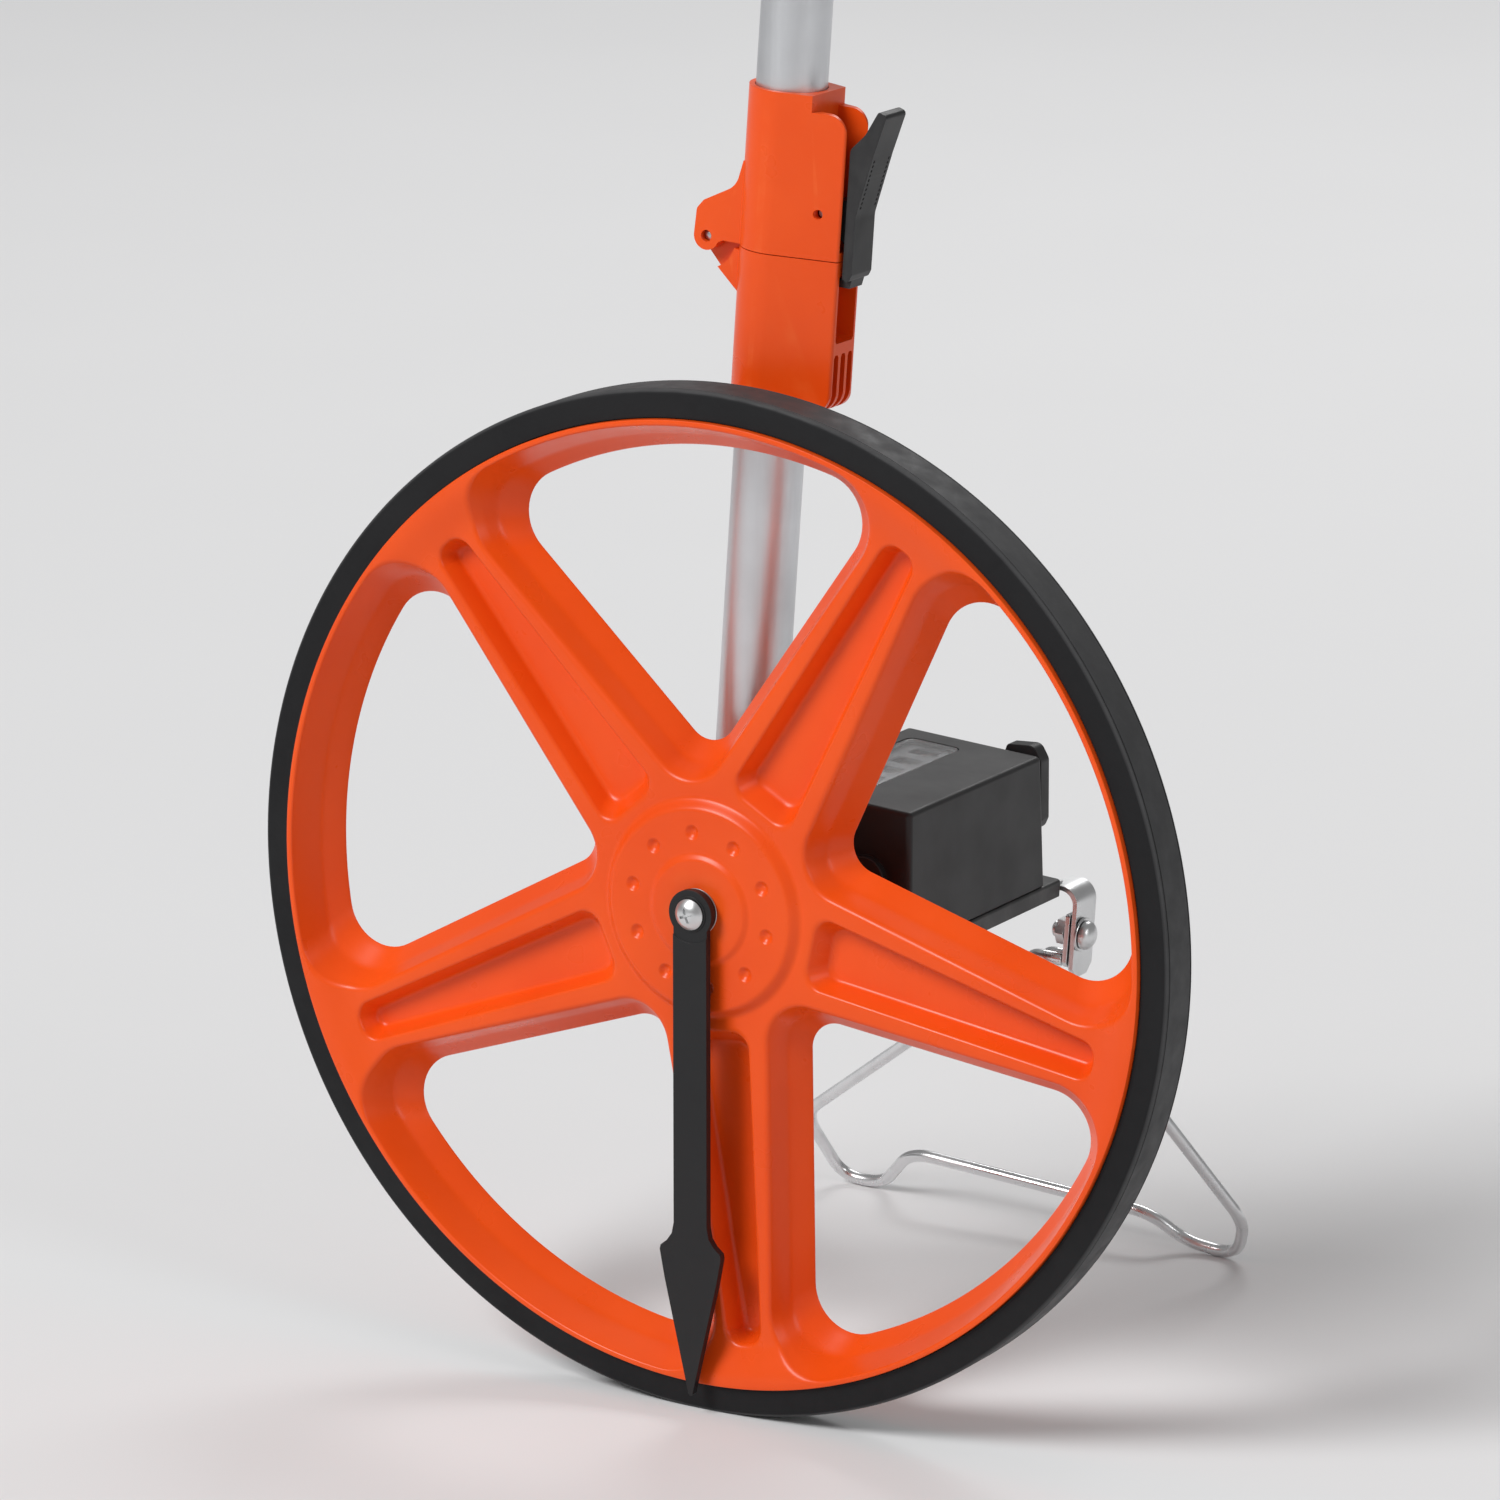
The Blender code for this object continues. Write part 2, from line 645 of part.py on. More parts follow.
# --- frame at the foot of the pole ------------------------------------------------------------
def build_axle_bracket():
    """Cast foot that holds the axle and plugs into the pole."""
    body = block((-22.0, 1.6), (19.0, 44.0), (TRAY_TOP + GAP, 15.0), 1.2)
    bracket = emit("axle_bracket", body, POLE_FRAME, BLACK)
    boss = rod(9.4, (16.2, 26.6), 32)
    tool(bracket, boss, POLE_FRAME, "UNION")
    spigot = rod(TUBE_R - TUBE_WALL - GAP, (13.0, 48.0), 32, "Z", (TUBE_U, TUBE_Y))
    tool(bracket, spigot, POLE_FRAME, "UNION")
    bores = join(
        rod(AXLE_R + GAP, (15.0, 26.3), 32),
        rod(2.3, (15.0, 50.0), 16, "Y", (TUBE_U, 35.0)),
        *[rod(1.6, (-13.0, -2.0), 12, "Z", spot) for spot in FOOT_SCREWS],
    )
    tool(bracket, bores, POLE_FRAME)
    grub_hole = rod(1.9, (-12.0, -4.0), 12, "Z", (0.0, 18.8))
    tool(bracket, grub_hole, POLE_FRAME)
    emit("axle_grub_screw", rod(1.6, (-9.0, -5.2), 12, "Z", (0.0, 18.8)), POLE_FRAME, STEEL)


def build_lower_tube():
    """Lower half of the pole, riveted to the foot."""
    shape = ring(TUBE_R - TUBE_WALL, TUBE_R, (15.3, 187.0), 32, "Z")
    tube = emit("lower_tube", shape, TUBE_FRAME, ALUMINIUM)
    tool(tube, rod(2.3, (-20.0, 20.0), 16, "Y", (0.0, 35.0)), TUBE_FRAME)
    end = TUBE_R + GAP
    profile = [
        (0.0, -end - 1.4),
        (2.4, -end - 1.1),
        (3.4, -end),
        (2.0, -end),
        (2.0, end),
        (3.4, end),
        (2.4, end + 1.1),
        (0.0, end + 1.4),
    ]
    emit("pole_rivet", lathe(profile, 16, "Y", (0.0, 35.0)), TUBE_FRAME, STEEL)


def build_tray():
    """Folded sheet tray that carries the counter and the stand."""
    outer = block(TRAY_U, TRAY_Y, (TRAY_TOP - TRAY_DEPTH, TRAY_TOP), 0.35)
    tray = emit("tray", outer, POLE_FRAME, BLACK)
    inner_u = (TRAY_U[0] + TRAY_SHEET, TRAY_U[1] - TRAY_SHEET)
    inner_y = (TRAY_Y[0] + TRAY_SHEET, TRAY_Y[1] + 2.0)
    hollow = block(inner_u, inner_y, (TRAY_TOP - TRAY_DEPTH - 2.0, TRAY_TOP - TRAY_SHEET))
    tool(tray, hollow, POLE_FRAME)
    holes = []
    for u, y in TRAY_HOLES:
        holes.append(rod(1.9, (TRAY_TOP - 3.0, TRAY_TOP + 2.0), 12, "Z", (u, y)))
    tool(tray, join(*holes), POLE_FRAME)


CASE_SCREWS = ((7.5, 32.8), (46.5, 32.8), (7.5, 105.2), (46.5, 105.2))
FOOT_SCREWS = ((-16.0, 27.4), (-16.0, 38.5))
PLATE_RIVETS = ((25.0, 114.4), (37.0, 114.4))
TRAY_HOLES = CASE_SCREWS + FOOT_SCREWS + PLATE_RIVETS


def screw_up(base, top, head_r=3.2, shank_r=1.3):
    """Pan-head screw driven upward, its head under the height base."""
    return [
        (0.0, base - 1.9),
        (head_r - 0.4, base - 1.5),
        (head_r, base),
        (shank_r, base),
        (shank_r, top),
        (0.0, top),
    ]


def build_tray_screws():
    """Screws that hold the case and the pole foot down on the tray."""
    base = TRAY_TOP - TRAY_SHEET - 0.2
    for index, spot in enumerate(CASE_SCREWS, 1):
        shape = lathe(screw_up(base, -3.0), 10, "Z", spot)
        emit(f"case_screw_{index}", shape, POLE_FRAME, STEEL)
    for index, spot in enumerate(FOOT_SCREWS, 1):
        shape = lathe(screw_up(base, -3.0), 10, "Z", spot)
        emit(f"foot_screw_{index}", shape, POLE_FRAME, STEEL)


# --- counter ----------------------------------------------------------------------------------
WINDOW_U = (9.6, 25.6)
WINDOW_Y = (40.0, 97.4)


def grown(span, amount):
    """A span made longer by amount at both ends."""
    return (span[0] - amount, span[1] + amount)


def drafted_case(inset, bottom, top):
    """Case body between two heights, its front and far end leaning outward toward the foot."""
    rings = []
    for w in (bottom, top):
        fall = (CASE_W[1] - w) / (CASE_W[1] - CASE_W[0])
        low_u, high_u = CASE_U[0] + inset, CASE_U[1] + CASE_FRONT_DRAFT * fall - inset
        low_y, high_y = CASE_Y[0] + inset, CASE_Y[1] + CASE_END_DRAFT * fall - inset
        rings.append([(low_u, low_y, w), (high_u, low_y, w), (high_u, high_y, w), (low_u, high_y, w)])
    return loft(rings)


def build_case():
    """Counter housing, open below, with its window and shaft holes."""
    shell = drafted_case(0.0, CASE_W[0], CASE_W[1])
    bmesh.ops.bevel(shell, geom=shell.edges, offset=1.2, segments=2, profile=0.5, affect="EDGES")
    case = emit("counter_case", shell, POLE_FRAME, BLACK)
    boss = rod(7.0, (CASE_Y[0] - 2.5, CASE_Y[0] + 1.0), 24, "Y", (36.4, 9.6))
    tool(case, boss, POLE_FRAME, "UNION")
    tool(case, drafted_case(CASE_WALL, CASE_W[0] - 2.0, CASE_W[1] - CASE_WALL), POLE_FRAME)
    posts = []
    for u, y in CASE_SCREWS:
        posts.append(block((u - 4.6, u + 4.6), (y - 4.6, y + 4.6), (CASE_W[0], 0.0)))
    tool(case, join(*posts), POLE_FRAME, "UNION")
    seat = block(grown(WINDOW_U, 1.5), grown(WINDOW_Y, 1.5), (CASE_W[1] - 1.2, CASE_W[1] + 1.0))
    tool(case, seat, POLE_FRAME)
    opening = block(WINDOW_U, WINDOW_Y, (CASE_W[1] - 4.0, CASE_W[1] + 1.0))
    tool(case, opening, POLE_FRAME)
    holes = [
        rod(SHAFT_R + GAP, (CASE_Y[0] - 1.0, CASE_Y[0] + 4.0), 20, "Y", (DRUM_AXIS_U, DRUM_AXIS_W)),
        rod(SHAFT_R + GAP, (CASE_Y[1] - 4.0, CASE_Y[1] + 0.2), 20, "Y", (DRUM_AXIS_U, DRUM_AXIS_W)),
        rod(1.5, (CASE_Y[0] + 0.6, CASE_Y[0] + 4.0), 12, "Y", (CARRY_AXIS_U, DRUM_AXIS_W)),
        rod(1.5, (CASE_Y[1] - 4.0, CASE_Y[1] - 0.6), 12, "Y", (CARRY_AXIS_U, DRUM_AXIS_W)),
        rod(2.8, (CASE_Y[1] - 4.0, CASE_Y[1] + 4.0), 20, "Y", (RESET_AXIS_U, RESET_AXIS_W)),
    ]
    for spot in CASE_SCREWS:
        holes.append(rod(1.6, (CASE_W[0] - 1.0, -2.0), 12, "Z", spot))
    tool(case, join(*holes), POLE_FRAME)


def build_window():
    """Clear lens in its seat and the printed mask under it."""
    lens = block(grown(WINDOW_U, 1.2), grown(WINDOW_Y, 1.2), (CASE_W[1] - 0.9, CASE_W[1] - 0.1), 0.15)
    emit("window_lens", lens, POLE_FRAME, CLEAR)
    sheet = block(grown(WINDOW_U, 2.0), grown(WINDOW_Y, 2.0), (CASE_W[1] - 3.0, CASE_W[1] - 2.3))
    mask = emit("window_mask", sheet, POLE_FRAME, SILVER)
    slots = []
    for index in range(DRUM_COUNT):
        middle = DRUM_FIRST_Y + DRUM_WIDTH / 2.0 + index * DRUM_PITCH
        slot = block((DRUM_AXIS_U - 4.6, DRUM_AXIS_U + 4.6), (middle - 3.4, middle + 3.4),
                     (CASE_W[1] - 4.0, CASE_W[1] - 1.0))
        slots.append(slot)
    tool(mask, join(*slots), POLE_FRAME)


def build_counter_train():
    """Shaft with its gear, the five figure drums and the carry pinions behind them."""
    axis = (DRUM_AXIS_U, DRUM_AXIS_W)
    pivot = (DRUM_AXIS_U, 68.0, DRUM_AXIS_W)
    shaft = rod(SHAFT_R, (GEAR_NEAR + 0.6, CASE_Y[1] - 1.2), 20, "Y", axis)
    emit("drum_shaft", shaft, POLE_FRAME, STEEL, pivot)
    half_tooth = math.pi / GEAR_TEETH
    mesh_angle = math.atan2(DRUM_AXIS_W, DRUM_AXIS_U)
    blank = gear_blank(mesh_angle + math.pi + half_tooth)
    bmesh.ops.translate(blank, verts=blank.verts, vec=(DRUM_AXIS_U, 0.0, DRUM_AXIS_W))
    gear = emit("driven_gear", blank, POLE_FRAME, WHITE, pivot)
    tool(gear, rod(SHAFT_R + GAP, (GEAR_NEAR - 1.0, GEAR_FAR + 1.0), 20, "Y", axis), POLE_FRAME)
    for index in range(DRUM_COUNT):
        start = DRUM_FIRST_Y + index * DRUM_PITCH
        drum = ring(SHAFT_R + GAP, DRUM_R, (start, start + DRUM_WIDTH), 20, "Y", axis)
        look = RED if index == 0 else WHITE
        emit(f"figure_drum_{index + 1}", drum, POLE_FRAME, look, (DRUM_AXIS_U, start, DRUM_AXIS_W))
    carry_axis = (CARRY_AXIS_U, DRUM_AXIS_W)
    carry_shaft = rod(1.2, (CASE_Y[0] + 0.9, CASE_Y[1] - 0.9), 12, "Y", carry_axis)
    emit("carry_shaft", carry_shaft, POLE_FRAME, STEEL)
    shape = gear_outline(6, 3.0, CARRY_TIP_R, 2.3, 0.1, 0.0)
    for index in range(DRUM_COUNT - 1):
        middle = DRUM_FIRST_Y + DRUM_WIDTH + index * DRUM_PITCH + (DRUM_PITCH - DRUM_WIDTH) / 2.0
        outline = [(a + CARRY_AXIS_U, b + DRUM_AXIS_W) for a, b in shape]
        blank = prism(outline, (middle - 2.2, middle + 2.2))
        spot = (CARRY_AXIS_U, middle, DRUM_AXIS_W)
        pinion = emit(f"carry_pinion_{index + 1}", blank, POLE_FRAME, WHITE, spot)
        tool(pinion, rod(1.5, (middle - 3.0, middle + 3.0), 12, "Y", carry_axis), POLE_FRAME)


def build_reset_lever():
    """Thumb lever on the outer end of the case that zeroes the drums."""
    corners = [(36.8, 7.4), (48.6, 7.4), (50.0, 11.0), (48.6, 30.0), (45.6, 34.4), (36.2, 33.2), (35.4, 30.2),
               (37.6, 25.0)]
    outline = rounded(corners, (3.5, 2.5, 2.0, 3.0, 3.0, 1.4, 1.4, 4.0), 3)
    pivot = (RESET_AXIS_U, CASE_Y[1], RESET_AXIS_W)
    span = (CASE_Y[1] + 2.2, CASE_Y[1] + 7.4)
    lever = emit("reset_lever", prism(outline, span), POLE_FRAME, BLACK, pivot)
    stub = rod(2.5, (CASE_Y[1] - 3.0, CASE_Y[1] + 4.0), 20, "Y", (RESET_AXIS_U, RESET_AXIS_W))
    tool(lever, stub, POLE_FRAME, "UNION")


# --- stand ------------------------------------------------------------------------------------
def build_stand_bracket():
    """Folded steel strip from the tray down to the stand's pivot bolt."""
    sheet = 1.6
    top = TRAY_TOP - TRAY_SHEET - GAP
    face = 58.8
    bottom = -42.0
    strip_top = top - 0.9
    strip_start = 49.6
    outer = rounded([(strip_start, strip_top), (face, strip_top), (face, bottom), (face - sheet, bottom),
                     (face - sheet, strip_top - sheet), (strip_start, strip_top - sheet)],
                    (0.0, 6.0, 0.0, 0.0, 4.4, 0.0))
    strip = emit("stand_bracket", prism(outer, (122.3, 134.8)), POLE_FRAME, STEEL)
    foot = block((20.0, 51.4), (109.2, 125.5), (top - sheet, top))
    tool(strip, foot, POLE_FRAME, "UNION")
    foot_end = block((19.0, 44.9), (120.8, 127.0), (top - sheet - 1.0, top + 1.0))
    tool(strip, foot_end, POLE_FRAME)
    chamfers = join(
        prism([(121.0, bottom + 4.3), (127.0, bottom - 1.7), (121.0, bottom - 1.7)], (50.0, 62.0), "X"),
        prism([(136.0, bottom + 4.3), (136.0, bottom - 1.7), (130.0, bottom - 1.7)], (50.0, 62.0), "X"),
    )
    tool(strip, chamfers, POLE_FRAME)
    holes = [rod(2.8, (50.0, 62.0), 20, "X", (STAND_AXIS_Y, STAND_AXIS_W))]
    for spot in PLATE_RIVETS:
        holes.append(rod(1.9, (top - 4.0, top + 2.0), 12, "Z", spot))
    tool(strip, join(*holes), POLE_FRAME)
    for index, spot in enumerate(PLATE_RIVETS, 1):
        base = top - sheet - 0.2
        head = TRAY_TOP + 0.2
        profile = screw_up(base, head)[:-1] + [(2.8, head), (2.2, head + 0.8), (0.0, head + 1.0)]
        emit(f"bracket_rivet_{index}", lathe(profile, 10, "Z", spot), POLE_FRAME, STEEL)


def build_stand_bolt():
    """Pivot bolt, washer and nut."""
    axis = (STAND_AXIS_Y, STAND_AXIS_W)
    bolt = [(0.0, 49.6), (2.1, 49.6), (2.5, 50.1), (2.5, 60.3), (4.6, 60.3), (4.6, 61.3), (3.4, 62.9),
            (1.6, 63.7), (0.0, 63.9)]
    emit("stand_bolt", lathe(bolt, 20, "X", axis), POLE_FRAME, STEEL)
    emit("stand_washer", ring(2.8, 5.4, (59.1, 60.0), 20, "X", axis), POLE_FRAME, STEEL)
    hexagon = arc(axis, 4.6, 0.0, 2.0 * math.pi, 6)[:-1]
    nut = emit("stand_nut", prism(hexagon, (51.6, 54.8), "X"), POLE_FRAME, STEEL)
    tool(nut, rod(2.8, (48.0, 55.0), 20, "X", axis), POLE_FRAME)


def slope_point(u, run):
    """A point of the stand's plane: run is measured from the pivot down the slope."""
    y = STAND_AXIS_Y + run * math.sin(STAND_SLOPE)
    w = STAND_AXIS_W - run * math.cos(STAND_SLOPE)
    return (u, y, w)


def foot_run(u):
    """Run down the slope at which the wire touches the ground at a given u."""
    lean = math.radians(LEAN_DEG)
    ground_w = (-TYRE_R + STAND_WIRE_R + u * math.sin(lean)) / math.cos(lean)
    return (STAND_AXIS_W - ground_w) / math.cos(STAND_SLOPE)


def build_stand():
    """Swinging tab and the wire loop welded to it."""
    pivot = (55.6, STAND_AXIS_Y, STAND_AXIS_W)
    tab_shape = [(121.8, -21.2), (133.4, -21.2), (133.4, -35.6), (130.0, -38.6), (123.0, -38.6), (121.4, -36.8)]
    tab = emit("stand_tab", prism(tab_shape, (55.2, 56.8), "X"), POLE_FRAME, STEEL, pivot)
    tool(tab, rod(2.8, (50.0, 60.0), 20, "X", (STAND_AXIS_Y, STAND_AXIS_W)), POLE_FRAME)
    left_foot = -66.0
    right_foot = 73.0
    crossbar_run = 137.8
    corners = [
        (54.9, 123.2, -36.4),
        (45.0, 123.4, -36.8),
        slope_point(-71.5, 127.5),
        slope_point(left_foot - 8.5, foot_run(left_foot) - 6.0),
        slope_point(left_foot - 1.0, foot_run(left_foot)),
        slope_point(left_foot + 9.0, foot_run(left_foot) - 1.0),
        slope_point(-38.0, crossbar_run),
        slope_point(52.5, crossbar_run),
        slope_point(right_foot - 9.0, foot_run(right_foot) - 1.0),
        slope_point(right_foot + 1.5, foot_run(right_foot)),
        slope_point(right_foot + 11.5, foot_run(right_foot) - 9.0),
        slope_point(85.0, 120.0),
        slope_point(46.5, 32.0),
        (45.5, 128.2, -36.8),
        (54.9, 127.9, -36.4),
    ]
    loop = wire(bent_path(corners, 6.0, 2), STAND_WIRE_R)
    emit("stand_wire", loop, POLE_FRAME, STEEL, pivot, 60.0)


# --- fold joint and latch ---------------------------------------------------------------------
def joint_section():
    """Plan outline of the joint: a round sleeve with flat flanks running out to the latch face."""
    corner = Vector((HOUSING_FRONT, HOUSING_HALF))
    touch = math.atan2(corner.y, corner.x) + math.acos(SLEEVE_R / corner.length)
    sleeve = arc((0.0, 0.0), SLEEVE_R, touch, 2.0 * math.pi - touch, 20)
    face = [(HOUSING_FRONT - 0.8, -HOUSING_HALF), (HOUSING_FRONT, -HOUSING_HALF + 0.8)]
    return sleeve + face + [(u, -y) for u, y in reversed(face)]


def build_joint_lower():
    """Lower half of the fold joint with its knuckle and latch housing."""
    bottom = 147.0
    shell = emit("joint_lower", prism(joint_section(), (bottom, FOLD_SEAM), "Z"), TUBE_FRAME, ORANGE)
    front = HOUSING_FRONT
    nose = arc((front - 7.0, bottom + 9.4), 7.0, 1.5 * math.pi, 2.0 * math.pi, 4)
    nose += [(front + 3.0, bottom + 10.0), (front + 3.0, bottom - 3.0), (12.9, bottom - 3.0), (12.9, bottom + 2.4)]
    tool(shell, prism(nose, (-20.0, 20.0)), TUBE_FRAME)
    pin = (FOLD_PIN_U, FOLD_PIN_W)
    knuckle = arc(pin, KNUCKLE_R, math.radians(45.0), math.radians(215.0), 8)
    web = [(-18.3, 187.8), (-12.0, 183.4), (-8.0, 180.0), (-8.0, FOLD_SEAM - 0.3), (-16.5, FOLD_SEAM - 0.3)]
    tool(shell, prism(knuckle + web, (-KNUCKLE_HALF, KNUCKLE_HALF)), TUBE_FRAME, "UNION")
    cheek = arc(pin, CHEEK_CLEARANCE_R, math.radians(-66.0), math.radians(-14.0), 5)
    cheek += [(-8.0, 194.6), (-8.0, 180.2), (-12.0, 183.6)]
    tool(shell, prism(cheek, (-CHEEK_HALF, CHEEK_HALF)), TUBE_FRAME, "UNION")
    bores = join(
        rod(TUBE_R + GAP, (bottom - 1.0, 188.5), 32, "Z"),
        rod(FOLD_PIN_R + GAP, (-10.0, 10.0), 16, "Y", pin),
        block((14.0, front + 1.0), (-5.2, 5.2), (171.5, 192.4)),
    )
    tool(shell, bores, TUBE_FRAME)
    tool(shell, rod(7.0, (180.0, FOLD_SEAM + 2.0), 24, "Z"), TUBE_FRAME)
    slots = []
    for middle in (-4.0, 0.0, 4.0):
        slots.append(block((15.5, front + 1.0), (middle - 1.3, middle + 1.3), (bottom, 168.0)))
    tool(shell, join(*slots), TUBE_FRAME)


def build_joint_upper():
    """Upper half of the fold joint with its ears and latch slot."""
    top = 246.0
    base = FOLD_SEAM + GAP
    pivot = (FOLD_PIN_U, 0.0, FOLD_PIN_W)
    shell = emit("joint_upper", prism(joint_section(), (base, top), "Z"), TUBE_FRAME, ORANGE, pivot)
    shoulder = [(HOUSING_FRONT + 3.0, 233.0), (HOUSING_FRONT + 3.0, top + 3.0), (12.9, top + 3.0), (12.9, 241.0)]
    shoulder += arc((HOUSING_FRONT - 6.0, 235.0), 6.0, math.pi / 2.0, 0.0, 4)
    tool(shell, prism(shoulder, (-20.0, 20.0)), TUBE_FRAME)
    pin = (FOLD_PIN_U, FOLD_PIN_W)
    knuckle = arc(pin, KNUCKLE_R, math.radians(180.0), math.radians(340.0), 8)
    ear = knuckle + [(-16.0, base + 0.3), (-6.0, base + 0.3), (-6.0, 222.5), (-10.4, 222.5), (-12.4, 214.4),
                     (-23.4, 208.4), (-25.6, 205.6)]
    tool(shell, prism(ear, (-EAR_HALF, EAR_HALF)), TUBE_FRAME, "UNION")
    slot = block((-30.0, -12.9), (-KNUCKLE_HALF - GAP, KNUCKLE_HALF + GAP), (185.0, 212.0))
    tool(shell, slot, TUBE_FRAME)
    bores = join(
        rod(TUBE_R + GAP, (203.0, top + 1.0), 32, "Z"),
        rod(FOLD_PIN_R + GAP, (-10.0, 10.0), 16, "Y", pin),
        block((12.9, HOUSING_FRONT + 1.0), (-LEVER_HALF - GAP, LEVER_HALF + GAP), (199.5, top + 1.0)),
    )
    tool(shell, bores, TUBE_FRAME)
    tool(shell, rod(LATCH_PIN_R + GAP, (-10.0, 10.0), 12, "Y", (LATCH_PIN_U, LATCH_PIN_W)), TUBE_FRAME)
    tool(shell, rod(7.0, (base - 1.0, 205.0), 24, "Z"), TUBE_FRAME)
    pin_shape = rod(FOLD_PIN_R, (-7.4, 7.4), 16, "Y", pin)
    emit("fold_pin", pin_shape, TUBE_FRAME, STEEL, pivot)
    latch_pin = rod(LATCH_PIN_R, (-6.2, 6.2), 12, "Y", (LATCH_PIN_U, LATCH_PIN_W))
    emit("latch_pin", latch_pin, TUBE_FRAME, STEEL, pivot)


def build_latch_lever():
    """Squeeze lever that hooks the two halves of the joint together."""
    handle = rounded(
        [(24.3, 191.6), (26.8, 190.9), (27.9, 193.4), (27.9, 211.0), (32.6, 230.0), (36.4, 243.0), (33.2, 244.0),
         (29.0, 236.0), (24.3, 231.0)],
        (0.6, 1.4, 1.4, 8.0, 10.0, 1.3, 1.3, 8.0, 3.0), 2)
    pivot = (LATCH_PIN_U, 0.0, LATCH_PIN_W)
    lever = emit("latch_lever", prism(handle, (-LEVER_HALF, LEVER_HALF)), TUBE_FRAME, BLACK, pivot)
    boss = arc((LATCH_PIN_U, LATCH_PIN_W), 3.4, math.radians(80.0), math.radians(270.0), 8)
    web = boss + [(21.6, 203.6), (24.6, 201.0), (24.6, 191.5), (20.8, 191.1), (20.8, 188.8), (26.2, 188.8),
                  (27.1, 192.5), (27.1, 211.0), (24.6, 215.4)]
    tool(lever, prism(web, (-3.7, 3.7)), TUBE_FRAME, "UNION")
    bore = rod(LATCH_PIN_R + GAP, (-8.0, 8.0), 12, "Y", (LATCH_PIN_U, LATCH_PIN_W))
    tool(lever, bore, TUBE_FRAME)


# --- upper pole and grip ----------------------------------------------------------------------
GRIP_SCREWS = ((-13.2, 806.0), (-30.0, 846.0), (-72.0, 852.0))


def grip_outline():
    """Side view of the pistol grip, tube frame."""
    corners = [
        (15.5, 786.0),
        (16.5, 838.0),
        (4.0, 858.0),
        (-34.0, 866.0),
        (-84.0, 872.0),
        (-97.0, 866.0),
        (-97.0, 846.0),
        (-84.0, 838.0),
        (-40.0, 834.0),
        (-17.5, 822.0),
        (-15.5, 786.0),
    ]
    radii = (3.0, 14.0, 16.0, 60.0, 9.0, 6.0, 6.0, 9.0, 18.0, 16.0, 3.0)
    return rounded(corners, radii, 3)


def build_grip_half(name, span, look):
    """One moulded half of the grip, hollowed for the tube and its screws."""
    pivot = (FOLD_PIN_U, 0.0, FOLD_PIN_W)
    half = emit(name, prism(grip_outline(), span), TUBE_FRAME, look, pivot, 40.0)
    bevel = half.modifiers.new("rounded_edges", "BEVEL")
    bevel.width = 5.0 * MM
    bevel.segments = 2
    bevel.limit_method = "WEIGHT"
    outside = min(span) if abs(min(span)) > abs(max(span)) else max(span)
    weights = half.data.attributes.new("bevel_weight_edge", "FLOAT", "EDGE")
    for edge in half.data.edges:
        ends = [half.data.vertices[index].co.y for index in edge.vertices]
        on_face = all(abs(y - outside * MM) < 1e-6 for y in ends)
        weights.data[edge.index].value = 1.0 if on_face else 0.0
    holes = [rod(TUBE_R + GAP, (780.0, 837.0), 32, "Z")]
    for spot in GRIP_SCREWS:
        holes.append(rod(1.9, (-20.0, 20.0), 12, "Y", spot))
    tool(half, join(*holes), TUBE_FRAME)
    if outside < 0.0:
        seats = [rod(3.6, (-20.0, -9.1), 16, "Y", spot) for spot in GRIP_SCREWS]
        tool(half, join(*seats), TUBE_FRAME)


def build_upper_pole():
    """Upper tube, the two halves of the grip and their screws."""
    pivot = (FOLD_PIN_U, 0.0, FOLD_PIN_W)
    tube = ring(TUBE_R - TUBE_WALL, TUBE_R, (203.4, 836.6), 32, "Z")
    emit("upper_tube", tube, TUBE_FRAME, ALUMINIUM, pivot)
    build_grip_half("grip_shell_near", (-GRIP_HALF, -GAP / 2.0), BLACK)
    build_grip_half("grip_shell_far", (GAP / 2.0, GRIP_HALF), BLACK)
    for index, spot in enumerate(GRIP_SCREWS, 1):
        profile = [(0.0, -11.9), (2.2, -11.7), (3.1, -10.8), (3.1, -9.4), (1.5, -9.4), (1.5, 9.0), (0.0, 9.0)]
        screw = lathe(profile, 10, "Y", spot)
        emit(f"grip_screw_{index}", screw, TUBE_FRAME, STEEL, pivot)


# --- build ------------------------------------------------------------------------------------
clear_scene()
PARTS = new_collection("measuring_wheel")
CUTTERS = new_collection("cutters")

build_wheel()
build_tyre()
build_bush()
build_drive_gear()
build_axle()
build_pointer()
build_pointer_screw()
build_axle_bracket()
build_lower_tube()
build_tray()
build_tray_screws()
build_case()
build_window()
build_counter_train()
build_reset_lever()
build_stand_bracket()
build_stand_bolt()
build_stand()
build_joint_lower()
build_joint_upper()
build_latch_lever()
build_upper_pole()
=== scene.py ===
"""Looks of the measuring wheel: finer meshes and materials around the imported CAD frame.

Shapes are drawn in millimetres in the same frames as the CAD and baked to metres:
  WHEEL: x along the travel, y along the axle (pole side positive), z up, centred on the axle
  POLE:  the same, leaned about the axle (u, y, w)
  TUBE:  the pole frame moved to the tube's own axis
"""
import json
import math

import bmesh
import bpy
import numpy as np
from mathutils import Matrix, Vector, geometry


